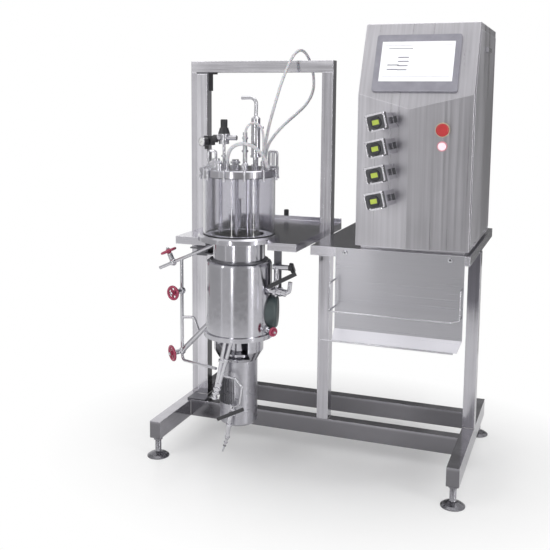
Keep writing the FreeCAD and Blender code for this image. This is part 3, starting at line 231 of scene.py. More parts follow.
def metal(name, color, rough, grain, spread=0.06, relief=0.05, edge=0.0012, vary=0.06, painted_edge_highlight=0.0,
          tone=None):
    """Steel with a drawn grain. The larger the grain's number along an axis, the finer it is there.
    spread is the range of its roughness and vary that of its colour; shine is a painted highlight
    that lightens its edges;
    tone is a mask and the share of the colour that shows there: painted shade where the share is
    below 1, painted light where it is above 1."""
    nodes = Finish(name)
    nodes.set(Metallic=1.0)
    streak = nodes.noise(grain, detail=5.0)
    cloud = nodes.noise(3.5)
    shade = nodes.ramp(nodes.result("ADD", streak, cloud), 0.0, 1.0, 0.75, 1.25)
    tint = nodes.mixed(shade, scaled(color, 1 - vary), scaled(color, 1 + vary))
    # painted highlight along the edges and creases
    if painted_edge_highlight:
        tint = nodes.mixed(nodes.edges(edge), tint, scaled(color, 1 + painted_edge_highlight))
    # painted shade or painted light: where the mask is 1, the colour is scaled by the share
    if tone:
        mask, share = tone
        tint = nodes.mixed(mask(nodes), tint, scaled(color, share))
    nodes.color(tint)
    nodes.roughness(nodes.ramp(streak, rough - spread, rough + spread))
    nodes.bump(streak, relief, 0.0004, edge)
    return nodes.material


def mirror(name, color, rough, waves):
    """Polished steel: nearly a mirror, with faint waves left by the rolling and the welding."""
    nodes = Finish(name)
    nodes.set(Metallic=1.0)
    smear = nodes.noise((14, 14, 5))
    shade = nodes.ramp(smear, 0.0, 1.0)
    nodes.color(nodes.mixed(shade, scaled(color, 0.93), scaled(color, 1.05)))
    fine = nodes.noise(60, detail=4.0)
    nodes.roughness(nodes.ramp(fine, rough * 0.7, rough * 1.4))
    nodes.bump(smear, waves, 0.002, 0.0008)
    return nodes.material


def plastic(name, color, rough, grain, relief, coat=0.0, edge=0.0006, vary=0.12):
    """Moulded plastic or rubber with a fine pitted skin."""
    nodes = Finish(name)
    nodes.set(Specular_IOR_Level=0.5, Coat_Weight=coat, Coat_Roughness=0.15)
    pits = nodes.noise(grain, detail=2.0)
    cloud = nodes.noise(25)
    shade = nodes.ramp(cloud, 0.0, 1.0)
    nodes.color(nodes.mixed(shade, scaled(color, 1 - vary), scaled(color, 1 + vary)))
    nodes.roughness(nodes.ramp(cloud, rough * 0.85, rough * 1.15))
    nodes.bump(pits, relief, 0.0002, edge)
    return nodes.material


def clear_glass(name, color):
    """Borosilicate wall: slightly grey, with faint streaks."""
    nodes = Finish(name)
    nodes.set(Transmission_Weight=1.0, IOR=1.47)
    streak = nodes.noise((26, 26, 3))
    shade = nodes.ramp(streak, 0.0, 1.0)
    nodes.color(nodes.mixed(shade, scaled(color, 0.97), scaled(color, 1.03)))
    nodes.roughness(nodes.ramp(streak, 0.05, 0.14))
    nodes.bump(streak, 0.04, 0.001)
    return nodes.material


def silicone(name, thin, thick):
    """Translucent hose wall, its colour between two colours."""
    nodes = Finish(name)
    nodes.set(IOR=1.42, Transmission_Weight=0.15, Subsurface_Weight=0.2, Subsurface_Scale=0.003)
    haze = nodes.noise(90)
    nodes.color(nodes.mixed(nodes.ramp(haze, 0.0, 1.0), thin, thick))
    nodes.roughness(nodes.ramp(haze, 0.22, 0.38))
    nodes.bump(haze, 0.05, 0.0005)
    return nodes.material


def glowing(name, color, strength, rough=0.25):
    """Lit screen or lamp behind a smooth front."""
    nodes = Finish(name)
    nodes.set(Emission_Strength=strength, Coat_Weight=0.4, Coat_Roughness=0.08)
    cloud = nodes.noise(18, detail=2.0)
    tint = nodes.mixed(nodes.ramp(cloud, 0.0, 1.0), scaled(color, 0.985), color)
    nodes.color(tint)
    nodes.link(tint, nodes.shader.inputs["Emission Color"])
    nodes.roughness(nodes.ramp(cloud, rough * 0.9, rough * 1.1))
    return nodes.material


def two_rings(name, upper, lower):
    """One finish for both button rings, which changes colour halfway between the buttons."""
    nodes = Finish(name)
    heights = [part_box(node)[1].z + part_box(node)[0].z for node in ("stop_button", "lit_button")]
    middle = sum(heights) / 4
    nodes.color(nodes.mixed(nodes.ramp(nodes.height(), 0.0, 1.0, middle - 0.002, middle + 0.002),
                            lower, upper))
    cloud = nodes.noise(25)
    nodes.roughness(nodes.ramp(cloud, 0.34, 0.46))
    nodes.bump(cloud, 0.05, 0.0002, 0.0006)
    return nodes.material


# every finish of the machine: what makes it, and its values; shine is a painted highlight on the
# edges
LOOKS = {
    # painted shade on the tubes' lower front faces, which show 0.42 of the colour
    "tube_steel": (metal, dict(
        color=(0.50, 0.49, 0.525), rough=0.17, grain=(14, 14, 70), spread=0.05, relief=0.03,
        edge=0.003, vary=0.14, painted_edge_highlight=0.3, tone=(painted_shade_low_fronts, 0.42))),
    "upright_steel": (metal, dict(
        color=(0.53, 0.52, 0.555), rough=0.15, grain=(130, 130, 2.4), spread=0.05, relief=0.03,
        edge=0.003, vary=0.15, painted_edge_highlight=0.3)),
    # painted shade on the column's right faces low on the stand, which show 0.1 of the colour
    "column_steel": (metal, dict(
        color=(0.68, 0.67, 0.71), rough=0.15, grain=(110, 110, 2.0), spread=0.05, relief=0.03,
        edge=0.003, vary=0.15, painted_edge_highlight=0.3, tone=(painted_shade_low_right, 0.1))),
    "bar_steel": (metal, dict(
        color=(0.60, 0.59, 0.625), rough=0.15, grain=(4, 90, 90), spread=0.05, relief=0.03,
        edge=0.003, vary=0.18, painted_edge_highlight=0.3)),
    "foot_steel": (metal, dict(color=(0.22, 0.217, 0.235), rough=0.28, grain=90)),
    "sheet_steel": (metal, dict(
        color=(0.60, 0.59, 0.63), rough=0.20, grain=(3, 300, 300), spread=0.04, relief=0.03,
        edge=0.002, vary=0.08, painted_edge_highlight=0.3)),
    "cabinet_steel": (metal, dict(
        color=(0.49, 0.48, 0.51), rough=0.34, grain=(130, 9, 1.4), spread=0.08, relief=0.05,
        edge=0.004, vary=0.12, painted_edge_highlight=0.45)),
    # painted light on the rack's faces that look up, which show 1.6 times the colour
    "rack_steel": (metal, dict(
        color=(0.44, 0.435, 0.465), rough=0.30, grain=(2.5, 700, 700), spread=0.03, relief=0.015,
        edge=0.002, vary=0.04, painted_edge_highlight=0.5, tone=(painted_light_top_faces, 1.6))),
    "vessel_steel": (mirror, dict(color=(0.50, 0.495, 0.53), rough=0.15, waves=0.05)),
    "fitting_steel": (mirror, dict(color=(0.62, 0.615, 0.65), rough=0.13, waves=0.12)),
    "weld_steel": (metal, dict(
        color=(0.42, 0.41, 0.42), rough=0.32, grain=400, spread=0.08, relief=0.2, edge=0.0)),
    "bracket_grey": (metal, dict(
        color=(0.16, 0.16, 0.175), rough=0.32, grain=200, spread=0.06, relief=0.06)),
    "motor_grey": (metal, dict(
        color=(0.46, 0.455, 0.49), rough=0.30, grain=(30, 30, 160), spread=0.04, relief=0.02)),
    "pump_silver": (metal, dict(
        color=(0.72, 0.71, 0.75), rough=0.24, grain=30, spread=0.05, relief=0.02, edge=0.001,
        vary=0.06, painted_edge_highlight=0.3)),
    "head_dark": (plastic, dict(
        color=(0.055, 0.055, 0.062), rough=0.34, grain=500, relief=0.08, coat=0.3)),
    "black_plastic": (plastic, dict(
        color=(0.022, 0.022, 0.026), rough=0.35, grain=800, relief=0.15, coat=0.3)),
    "bezel_grey": (plastic, dict(
        color=(0.30, 0.295, 0.34), rough=0.38, grain=600, relief=0.08, edge=0.0015)),
    "screen_white": (glowing, dict(color=(0.86, 0.86, 0.88), strength=0.30)),
    "screen_ink": (glowing, dict(color=(0.20, 0.20, 0.23), strength=0.10)),
    "red_plastic": (plastic, dict(
        color=(0.36, 0.035, 0.09), rough=0.36, grain=500, relief=0.1, coat=0.3, edge=0.001)),
    "stop_red": (plastic, dict(
        color=(0.48, 0.028, 0.03), rough=0.30, grain=500, relief=0.05, coat=0.3, edge=0.001)),
    "ring_yellow": (two_rings, dict(upper=(0.70, 0.62, 0.42), lower=(0.72, 0.36, 0.42))),
    "lamp_white": (glowing, dict(color=(0.88, 0.66, 0.72), strength=0.42)),
    "label_green": (plastic, dict(
        color=(0.45, 0.56, 0.06), rough=0.35, grain=300, relief=0.05, coat=0.4)),
    "glass": (clear_glass, dict(color=(0.68, 0.675, 0.71))),
    "rubber": (plastic, dict(color=(0.03, 0.03, 0.033), rough=0.6, grain=300, relief=0.2)),
    "cover_green": (plastic, dict(
        color=(0.055, 0.075, 0.078), rough=0.35, grain=300, relief=0.25, coat=0.2, edge=0.002)),
    "silicone": (silicone, dict(thin=(0.64, 0.64, 0.67), thick=(0.74, 0.74, 0.77))),
    "dial_white": (plastic, dict(
        color=(0.72, 0.72, 0.72), rough=0.4, grain=200, relief=0.02, coat=0.5, edge=0.0,
        vary=0.03)),
    "ink": (plastic, dict(color=(0.03, 0.03, 0.03), rough=0.5, grain=200, relief=0.05)),
}
finishes = {name: make(name, **values) for name, (make, values) in LOOKS.items()}

# which construction pieces have which finish
FINISHES = {
    "tube_steel": ["base_frame", "bearers"],
    "upright_steel": ["legs", "left_upright", "right_upright"],
    "column_steel": ["vessel_column"],
    "bar_steel": ["top_bar"],
    "foot_steel": ["levelling_feet"],
    "sheet_steel": ["worktop", "tray"],
    "cabinet_steel": ["cabinet_shell", "side_door"],
    "rack_steel": ["rack_panel"],
    "vessel_steel": ["inner_vessel", "jacket", "mid_flange", "lid", "lantern", "dip_pipes",
                     "agitator_shaft", "impellers"],
    "fitting_steel": ["lid_ports", "rim_clips", "condenser", "left_pipes", "bottom_pipes",
                      "manifold", "regulator_body", "lid_handles", "rack_wires", "door_latch"],
    "bracket_grey": ["column_brackets"],
    "motor_grey": ["motor"],
    "pump_silver": ["pump_bodies"],
    "head_dark": ["pump_heads"],
    "black_plastic": ["rotor_1", "rotor_2", "rotor_3", "rotor_4", "ball_valve_lever",
                      "manifold_lever", "wing_knob", "regulator_knob", "gauge"],
    "bezel_grey": ["screen_bezel"],
    "screen_white": ["screen_glass"],
    "red_plastic": ["handwheel_1", "handwheel_2", "handwheel_3", "handwheel_4"],
    "stop_red": ["stop_button"],
    "ring_yellow": ["button_rings"],
    "lamp_white": ["lit_button"],
    "glass": ["glass_wall"],
    "rubber": ["glass_seals", "tray_bumper"],
    "cover_green": ["side_cover"],
    "silicone": ["vent_hose", "loop_hose", "feed_hose"],
}


def dress_nodes():
    """Gives each construction piece its finish."""
    for finish, names in FINISHES.items():
        for name in names:
            for slot in frame["nodes"][name].material_slots:
                slot.material = finishes[finish]


def add_object(name, data):
    """New object in the scene."""
    item = bpy.data.objects.new(name, data)
    bpy.context.scene.collection.objects.link(item)
    return item


# ---- camera and hoses ------------------------------------------------------------------------
CAMERA_AT = from_part(839, -2804, 1235)
CAMERA_YAW = math.radians(20.33)
CAMERA_PITCH = math.radians(-7.45)
CAMERA_ROLL = math.radians(-0.47)
CAMERA_LENS = 55.06
CAMERA_SENSOR = 36.0
CAMERA_SHIFT_Y = -0.12


def make_camera():
    """Camera at standing height, to the right of the machine."""
    camera = add_object("camera", bpy.data.cameras.new("camera"))
    camera.data.lens = CAMERA_LENS
    camera.data.sensor_width = CAMERA_SENSOR
    camera.data.shift_y = CAMERA_SHIFT_Y
    turn = (Matrix.Rotation(CAMERA_YAW, 4, "Z")
            @ Matrix.Rotation(math.pi / 2 + CAMERA_PITCH, 4, "X"))
    camera.matrix_world = (Matrix.Translation(CAMERA_AT) @ turn
                           @ Matrix.Rotation(-CAMERA_ROLL, 4, "Z"))
    bpy.context.scene.camera = camera


# each hose's line from port to port, in the part's own millimetres
VENT_ROUTE = [
    (-162, -215, 1044), (-157, -206, 1102), (-150, -187, 1164), (-143, -156, 1225),
    (-140, -115, 1285), (-137, -62, 1340), (-126, -22, 1392), (-112, 28, 1410), (-96, 66, 1372),
    (-80, 62, 1315), (-72, 34, 1262), (-82, -8, 1218), (-102, -62, 1184), (-126, -118, 1150),
    (-148, -160, 1112), (-163, -184, 1076), (-166.2, -188, 1040),
]
LOOP_ROUTE = [
    (-204.7, -268.4, 1034), (-207.5, -269.4, 1085), (-205.6, -268.7, 1137), (-189.7, -262.8, 1157),
    (-167.6, -253.6, 1156), (-152.6, -248, 1137), (-149.1, -245.6, 1086), (-151, -246.1, 1035),
]
FEED_ROUTE = [
    (-258.4, -293.2, 1034), (-256.2, -293.3, 1060), (-237.4, -292.2, 1084), (-205.3, -286.8, 1093),
    (-173.4, -278.1, 1084), (-149.3, -268.1, 1060), (-135, -260.7, 1036), (-131.7, -258.3, 1014),
]


def make_hose(name, route, radius):
    """Silicone hose along its route, from one lid port back to another. Its radius is in mm."""
    curve = bpy.data.curves.new(name, "CURVE")
    curve.dimensions = "3D"
    curve.bevel_depth = radius * MM
    curve.bevel_resolution = 6
    curve.resolution_u = 8
    curve.use_fill_caps = True
    spline = curve.splines.new("NURBS")
    spline.points.add(len(route) - 1)
    for point, place in zip(spline.points, route):
        point.co = (*from_part(*place), 1)
    spline.order_u = 3
    spline.use_endpoint_u = True
    piece = add_object(name + "_tube", curve)
    curve.materials.append(finishes["silicone"])
    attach(piece, "stand")
    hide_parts(name)


# ---- mesh helpers ----------------------------------------------------------------------------
SMOOTH_ANGLE = math.radians(40)
TINY = 1e-9                        # a length below this counts as nothing
STEEP = 0.9                        # rise of a direction that counts as upright
BEAD_SIDES = 8
BEAD_RIPPLE = 0.22                 # share by which a weld bead's radius varies
BEAD_RIPPLE_SCALE = 700            # of the noise that varies it
LINE_STEP = 0.0012
CIRCLE_STEP = 0.0016


def finish_piece(name, shape, finish, body="stand"):
    """Turns a bmesh into a piece with its finish and slot, riding on a body."""
    mesh = bpy.data.meshes.new(name)
    bmesh.ops.recalc_face_normals(shape, faces=shape.faces)
    shape.to_mesh(mesh)
    shape.free()
    mesh.materials.append(finishes[finish])
    mesh.polygons.foreach_set("use_smooth", [True] * len(mesh.polygons))
    mesh.set_sharp_from_angle(angle=SMOOTH_ANGLE)
    piece = add_object(name, mesh)
    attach(piece, body)


def facing(origin, outward, roll=0.0):
    """Matrix whose Z is outward and whose Y is as near to up as it can be, turned by roll."""
    outward = Vector(outward).normalized()
    across = UP.cross(outward).normalized()
    rise = outward.cross(across)
    turn = Matrix((across, rise, outward)).transposed().to_4x4()
    return Matrix.Translation(origin) @ turn @ Matrix.Rotation(roll, 4, "Z")


def moved(matrix, x, y, z):
    """The matrix, moved along its own axes."""
    return matrix @ Matrix.Translation((x, y, z))


def turns(count):
    """Angles that go once round in equal steps."""
    return [2 * math.pi * k / count for k in range(count)]


def on_circle(radius, angle, height=0.0):
    """Point at an angle about the Z axis."""
    return Vector((radius * math.cos(angle), radius * math.sin(angle), height))


def add_bands(shape, pairs, sides):
    """Adds the faces between the rings of each pair. A ring may be a single point."""
    for first, second in pairs:
        for k in range(sides):
            corners = [first[k % len(first)], first[(k + 1) % len(first)],
                       second[(k + 1) % len(second)], second[k % len(second)]]
            corners = list(dict.fromkeys(corners))
            if len(corners) > 2:
                shape.faces.new(corners)


def add_lathe(shape, matrix, profile, sides=32):
    """Adds a turned form about the matrix's Z, through (radius, height) points."""
    rings = []
    for radius, height in profile:
        angles = turns(sides) if radius > TINY else [0.0]
        rings.append([shape.verts.new(matrix @ on_circle(radius, angle, height))
                      for angle in angles])
    add_bands(shape, zip(rings, rings[1:]), sides)


def add_slab(shape, matrix, outline, thickness, chamfer=0.0):
    """Adds a flat slab that stands on the matrix's plane, its top edge chamfered."""
    middle = sum((Vector(corner) for corner in outline), Vector((0, 0))) / len(outline)
    levels = [(0.0, 0.0), (0.0, thickness - chamfer)]
    if chamfer:
        levels.append((chamfer, thickness))
    rings = []
    for inset, height in levels:
        ring = []
        for corner in outline:
            out = Vector(corner) - middle
            place = middle + out * (1 - inset / max(out.length, TINY))
            ring.append(shape.verts.new(matrix @ Vector((place.x, place.y, height))))
        rings.append(ring)
    add_bands(shape, zip(rings, rings[1:]), len(outline))
    shape.faces.new(rings[-1])
    shape.faces.new(list(reversed(rings[0])))


def rectangle(width, height, at=(0.0, 0.0)):
    """Corners of a rectangle about a point."""
    signs = ((-1, -1), (1, -1), (1, 1), (-1, 1))
    return [(at[0] + sx * width / 2, at[1] + sy * height / 2) for sx, sy in signs]


def regular(radius, sides):
    """Corners of a regular outline."""
    return [on_circle(radius, angle).xy for angle in turns(sides)]


def add_bead(shape, path, radius, closed=False):
    """Adds a weld bead along points: a round bar with the ripple of the melt."""
    rings = []
    count = len(path)
    for i, point in enumerate(path):
        before = path[i - 1] if closed or i else path[0]
        after = path[(i + 1) % count] if closed or i < count - 1 else path[-1]
        along = (after - before).normalized()
        side = along.orthogonal().normalized()
        if abs(along.z) < STEEP:
            side = along.cross(UP).normalized()
        other = along.cross(side)
        size = radius * (1 + BEAD_RIPPLE * noise.noise(point * BEAD_RIPPLE_SCALE))
        rings.append([shape.verts.new(point + (side * math.cos(a) + other * math.sin(a)) * size)
                      for a in turns(BEAD_SIDES)])
    add_bands(shape, zip(rings, rings[1:]), BEAD_SIDES)
    if closed:
        add_bands(shape, [(rings[-1], rings[0])], BEAD_SIDES)
    else:
        shape.faces.new(rings[0])
        shape.faces.new(list(reversed(rings[-1])))


def line(start, end):
    """Points from start to end, in short steps."""
    count = max(2, round((end - start).length / LINE_STEP))
    return [start.lerp(end, i / count) for i in range(count + 1)]


def circle(centre, radius):
    """Points round a level circle, in short steps."""
    count = round(2 * math.pi * radius / CIRCLE_STEP)
    return [centre + on_circle(radius, angle) for angle in turns(count)]


# ---- stand -----------------------------------------------------------------------------------
STAND_BEAD = 0.0016                # radius of the weld beads on the stand
BEAD_END = 0.001                   # from a bead's end to the crossbar's edge
CROSSBARS = (-101, 139)            # y of each crossbar's front face, in the part's millimetres


def weld_ends(shape, low, high, z, sides):
    """Welds a tube's end at height z along the named sides of its section."""
    front_left, front_right = Vector((low.x, low.y, z)), Vector((high.x, low.y, z))
    back_left, back_right = Vector((low.x, high.y, z)), Vector((high.x, high.y, z))
    edges = {"front": (front_left, front_right), "back": (back_left, back_right),
             "left": (front_left, back_left), "right": (front_right, back_right)}
    for side in sides:
        add_bead(shape, line(*edges[side]), STAND_BEAD)


def make_welds():
    """Weld beads where the stand's tubes meet."""
    shape = bmesh.new()
    left_low, left_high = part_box("left_upright")
    right_low, right_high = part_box("right_upright")
    column_low, column_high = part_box("vessel_column")
    legs_low, legs_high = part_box("legs")
    base_low, base_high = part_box("base_frame")
    tube = right_high.x - right_low.x
    right_leg = (Vector((legs_high.x - tube, left_low.y, 0)),
                 Vector((legs_high.x, left_high.y, 0)))
    middle_leg = (legs_low, Vector((legs_low.x + tube, legs_low.y + tube, 0)))
    weld_ends(shape, left_low, left_high, left_low.z, ("front", "back"))
    weld_ends(shape, left_low, left_high, left_high.z, ("right",))
    weld_ends(shape, right_low, right_high, right_high.z, ("left",))
    weld_ends(shape, column_low, column_high, column_low.z, ("front", "back", "left", "right"))
    weld_ends(shape, *right_leg, legs_low.z, ("front", "back"))
    weld_ends(shape, *middle_leg, legs_low.z, ("left", "right"))
    inner = base_high.x - tube
    foot, top = base_low.z + BEAD_END, base_high.z - BEAD_END
    for crossbar in CROSSBARS:
        front = from_part(0, crossbar, 0).y
        for x in (-inner, inner):
            for y in (front, front + tube):
                add_bead(shape, line(Vector((x, y, foot)), Vector((x, y, top))), STAND_BEAD)
    finish_piece("stand_welds", shape, "weld_steel")


THREAD_PITCH = 0.0025
THREAD_STEPS = 20                  # in one turn
THREAD_BOTTOM, THREAD_TOP = 0.0165, 0.0608
# radius, and height in pitches
THREAD_SECTION = ((0.0099, -0.45), (0.0109, -0.1), (0.0109, 0.1), (0.0099, 0.45))
PAD_RADIUS = 0.038
FOOT_ROWS = (-319, 285)            # y of the front and back feet, in the part's millimetres


def make_foot_threads():
    """Thread on each levelling foot's stem, between its pad and its nut."""
    shape = bmesh.new()
    foot_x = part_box("levelling_feet")[1].x - PAD_RADIUS
    tall = THREAD_TOP - THREAD_BOTTOM
    total = int(tall / THREAD_PITCH * THREAD_STEPS)
    for x in (-foot_x, foot_x):
        for foot_y in FOOT_ROWS:
            foot = Vector((x, from_part(0, foot_y, 0).y, 0))
            previous = None
            for i in range(total + 1):
                angle = 2 * math.pi * i / THREAD_STEPS
                z = THREAD_BOTTOM + tall * i / total
                row = [shape.verts.new(foot + on_circle(radius, angle, z + rise * THREAD_PITCH))
                       for radius, rise in THREAD_SECTION]
                if previous:
                    add_bands(shape, [(previous, row)], len(THREAD_SECTION))
                else:
                    shape.faces.new(row)
                previous = row
            shape.faces.new(list(reversed(previous)))
    finish_piece("foot_threads", shape, "fitting_steel")


RACK_BOLTS = (135, 466)            # x of each bolt, in the part's millimetres
PANEL_FACE, BOLT_FACE = -261, -265   # y of the rack panel's front and of the bolt heads' fronts
RACK_BOLT_DROP = 0.014             # from the panel's top
RACK_WASHER = [(0.0052, 0.0), (0.0085, 0.0), (0.0085, 0.0009), (0.0080, 0.0012),
               (0.0052, 0.0012)]
SOCKET_RADIUS, SOCKET_RISE = 0.0027, 0.0002


def rack_bolt_places(y):
    """Place of each rack bolt on an upright plane."""
    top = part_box("rack_panel")[1].z
    places = [from_part(x, y, 0) for x in RACK_BOLTS]
    return [facing(Vector((place.x, place.y, top - RACK_BOLT_DROP)), FRONT) for place in places]


def make_rack_bolts():
    """Sockets in the rack's bolt heads and a washer behind each."""
    shape = bmesh.new()
    for place in rack_bolt_places(PANEL_FACE):
        add_lathe(shape, place, RACK_WASHER)
    finish_piece("rack_washers", shape, "fitting_steel")
    shape = bmesh.new()
    for place in rack_bolt_places(BOLT_FACE):
        add_slab(shape, place, regular(SOCKET_RADIUS, 6), SOCKET_RISE)
    finish_piece("rack_bolt_sockets", shape, "black_plastic")


# ---- cabinet ---------------------------------------------------------------------------------
# a pump's heights are measured from its rotor's joint, along the joint's axis
PUMP_COUNT = 4
PUMP_ROLL = math.radians(14)
ROTOR_FRONT = 0.0193
HEAD_FRONT = 0.016
LABEL_SIZE = (0.021, 0.014)
LABEL_RISE, LABEL_CHAMFER = 0.0003, 0.0001
# screws on the head: their places, how deep they sit, their (radius, height) profile
SCREW_PLACES = ((-0.026, 0.020), (0.026, 0.020), (0.026, -0.020), (-0.017, -0.020))
SCREW_DEPTH = 0.0008
SCREW_PROFILE = [(0.0, 0.0), (0.0026, 0.0), (0.0026, 0.0010), (0.0020, 0.0016),
                 (0.0012, 0.0016), (0.0010, 0.0008), (0.0, 0.0008)]
# frame on the head: middle x and y, width and height of each side; how deep it sits, its rise
HEAD_FRAME = ((0.0, 0.0238, 0.0605, 0.0052), (0.0, -0.0238, 0.0400, 0.0052),
              (-0.0283, 0.0, 0.0046, 0.0400), (0.0283, 0.0, 0.0046, 0.0400))
HEAD_FRAME_DEPTH = 0.0036
HEAD_FRAME_RISE, HEAD_FRAME_CHAMFER = 0.0044, 0.0008
# plate on the side clip: its place beside and behind the rotor's joint, its size and its rise
CLIP_OUT = 0.0355
CLIP_BACK = -0.0600
CLIP_SIZE = (0.0105, 0.0200)
CLIP_RISE, CLIP_CHAMFER = 0.0030, 0.0006


def make_pump_details():
    """Label on each rotor; screws, bright frame and clip plate on each head."""
    for number in range(1, PUMP_COUNT + 1):
        rotor = "rotor_%d" % number
        joint = JOINTS[rotor + "_spin"]
        head = facing(Vector(joint["pos_m"]), joint["axis"], roll=PUMP_ROLL)
        shape = bmesh.new()
        add_slab(shape, moved(head, 0, 0, ROTOR_FRONT), rectangle(*LABEL_SIZE),
                 LABEL_RISE, LABEL_CHAMFER)
        finish_piece("rotor_label_%d" % number, shape, "label_green", body=rotor)
        shape = bmesh.new()
        for x, y in SCREW_PLACES:
            add_lathe(shape, moved(head, x, y, HEAD_FRONT - SCREW_DEPTH), SCREW_PROFILE, 18)
        for x, y, width, height in HEAD_FRAME:
            place = moved(head, x, y, HEAD_FRONT - HEAD_FRAME_DEPTH)
            add_slab(shape, place, rectangle(width, height), HEAD_FRAME_RISE, HEAD_FRAME_CHAMFER)
        finish_piece("pump_trim_%d" % number, shape, "pump_silver")
        shape = bmesh.new()
        add_slab(shape, moved(head, CLIP_OUT, 0, CLIP_BACK), rectangle(*CLIP_SIZE),
                 CLIP_RISE, CLIP_CHAMFER)
        finish_piece("pump_clip_face_%d" % number, shape, "head_dark")


SCREEN_LEAN = math.atan2(93, 219)  # the sloping front's run back over its rise, in millimetres
SCREEN_SIZE = (0.226, 0.134)
SCREEN_LIFT = 0.001                # from the glass's middle to the rows
INK_RISE = 0.0001
# each row: left end and height as shares of the screen, length and thickness
SCREEN_ROWS = [(0.10, 0.82, 0.075, 0.0022), (0.24, 0.60, 0.034, 0.0034),
               (0.24, 0.50, 0.034, 0.0034), (0.10, 0.41, 0.036, 0.0034),
               (0.24, 0.39, 0.032, 0.0034), (0.10, 0.30, 0.032, 0.0034),
               (0.24, 0.29, 0.030, 0.0034)]
# rules across the screen: their heights and length as shares of it, and their thickness
RULES = (0.90, 0.12)
RULE_LENGTH, RULE_THICKNESS = 0.92, 0.0008


def make_screen_details():
    """Generic rows of a display, and a rule above and below them."""
    low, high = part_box("screen_glass")
    width, height = SCREEN_SIZE
    outward = Vector((0, -math.cos(SCREEN_LEAN), math.sin(SCREEN_LEAN)))
    place = facing((low + high) / 2 + outward * SCREEN_LIFT, outward)
    shape = bmesh.new()
    for left, rise, length, thickness in SCREEN_ROWS:
        at = ((left - 0.5) * width + length / 2, (rise - 0.5) * height)
        add_slab(shape, place, rectangle(length, thickness, at), INK_RISE)
    finish_piece("screen_rows", shape, "screen_ink")
    shape = bmesh.new()
    for rise in RULES:
        at = (0, (rise - 0.5) * height)
        add_slab(shape, place, rectangle(width * RULE_LENGTH, RULE_THICKNESS, at), INK_RISE)
    finish_piece("screen_rules", shape, "bezel_grey")


WASHER_RADII = {"stop_button": 0.0235, "lit_button": 0.0165}
# distance in from the outer radius, and height
WASHER_SECTION = ((0.003, 0.0), (0.0, 0.0), (0.0, 0.0012), (0.0008, 0.002), (0.003, 0.002))


def make_button_details():
    """Collar nuts behind the two buttons."""
    shape = bmesh.new()
    panel_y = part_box("button_rings")[1].y
    for button, radius in WASHER_RADII.items():
        low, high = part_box(button)
        centre = (low + high) / 2
        outward = -Vector(JOINTS[button + "_press"]["axis"])
        base = centre + outward * ((panel_y - centre.y) / outward.y)
        profile = [(radius - inset, height) for inset, height in WASHER_SECTION]
        add_lathe(shape, facing(base, outward), profile, 48)
    finish_piece("button_washers", shape, "black_plastic")


# ---- drive and outlet ------------------------------------------------------------------------
MOTOR_RIBS = range(-140, -83, 7)   # degrees round the motor
RIB_WIDTH, RIB_RISE, RIB_CHAMFER = 0.0026, 0.0030, 0.0006
RIB_SUNK = 0.0005                  # into the motor's side
# height of a rib, and from the motor's top to its middle, as shares of the motor's height
RIB_TALL, RIB_MIDDLE = 0.40, 0.46


def make_motor_ribs():
    """Cooling ribs down the motor's side."""
    low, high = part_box("motor")
    tall = high.z - low.z
    radius = (high.x - low.x) / 2
    middle = Vector((AXIS.x, AXIS.y, high.z - RIB_MIDDLE * tall))
    outline = rectangle(RIB_WIDTH, RIB_TALL * tall)
    shape = bmesh.new()
    for degrees in MOTOR_RIBS:
        outward = on_circle(1.0, math.radians(degrees))
        place = facing(middle + outward * (radius - RIB_SUNK), outward)
        add_slab(shape, place, outline, RIB_RISE, RIB_CHAMFER)
    finish_piece("motor_ribs", shape, "bracket_grey")


NOZZLE_ALONG = Vector((-19, 0, -60)).normalized()
NOZZLE_LENGTH = 0.058
NOZZLE_RADIUS, NOZZLE_TAPER = 0.0060, 0.0035   # at its start, and how much less at its tip
NOZZLE_FRONT = 0.096               # ahead of the vessel's axis
NOZZLE_TIP = 0.0008                # above the outlet pipes' lowest point
# distance along the nozzle, outer radius, length, and the finish of each collar
COLLARS = [(0.000, 0.0085, 0.0050, "fitting_steel"), (0.0052, 0.0072, 0.0020, "black_plastic"),
           (0.0220, 0.0066, 0.0030, "fitting_steel"), (0.0340, 0.0054, 0.0020, "black_plastic")]


def make_nozzle_collars():
    """Collars and seals round the outlet's nozzle."""
    tip_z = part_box("bottom_pipes")[0].z + NOZZLE_TIP
    start = Vector((AXIS.x, AXIS.y - NOZZLE_FRONT, tip_z - NOZZLE_ALONG.z * NOZZLE_LENGTH))
    for number, (distance, radius, length, finish) in enumerate(COLLARS, 1):
        bore = NOZZLE_RADIUS - NOZZLE_TAPER * (distance + length) / NOZZLE_LENGTH
        profile = [(bore, 0.0), (radius, 0.0), (radius, length), (bore, length)]
        shape = bmesh.new()
        add_lathe(shape, facing(start + NOZZLE_ALONG * distance, NOZZLE_ALONG), profile)
        finish_piece("nozzle_collar_%d" % number, shape, finish)


# ---- vessel ----------------------------------------------------------------------------------
NECK_RADIUS = 0.0875
NECK_BEAD = 0.0014
FLANGE_GAP = 0.0006                # from the upper bead's middle to the flange


def make_vessel_welds():
    """Weld rings on the neck, above the jacket and under the flange."""
    shape = bmesh.new()
    for z in (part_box("jacket")[1].z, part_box("mid_flange")[0].z - FLANGE_GAP):
        add_bead(shape, circle(AXIS + UP * z, NECK_RADIUS), NECK_BEAD, closed=True)
    finish_piece("vessel_welds", shape, "weld_steel")


WHEEL_COUNT = 4
SMALL_WHEEL, SMALL_SIZE = 4, 0.7   # the last wheel is smaller, and its nut too
WHEEL_FRONT = 0.007                # ahead of the wheel's joint
# nut in a wheel: its radius across the corners, height and chamfer, and the dome's profile
WHEEL_NUT = (0.0060, 0.0035, 0.0006)
WHEEL_DOME = ((0.0, 0.0), (0.0044, 0.0), (0.0044, 0.0050), (0.0030, 0.0068), (0.0, 0.0074))


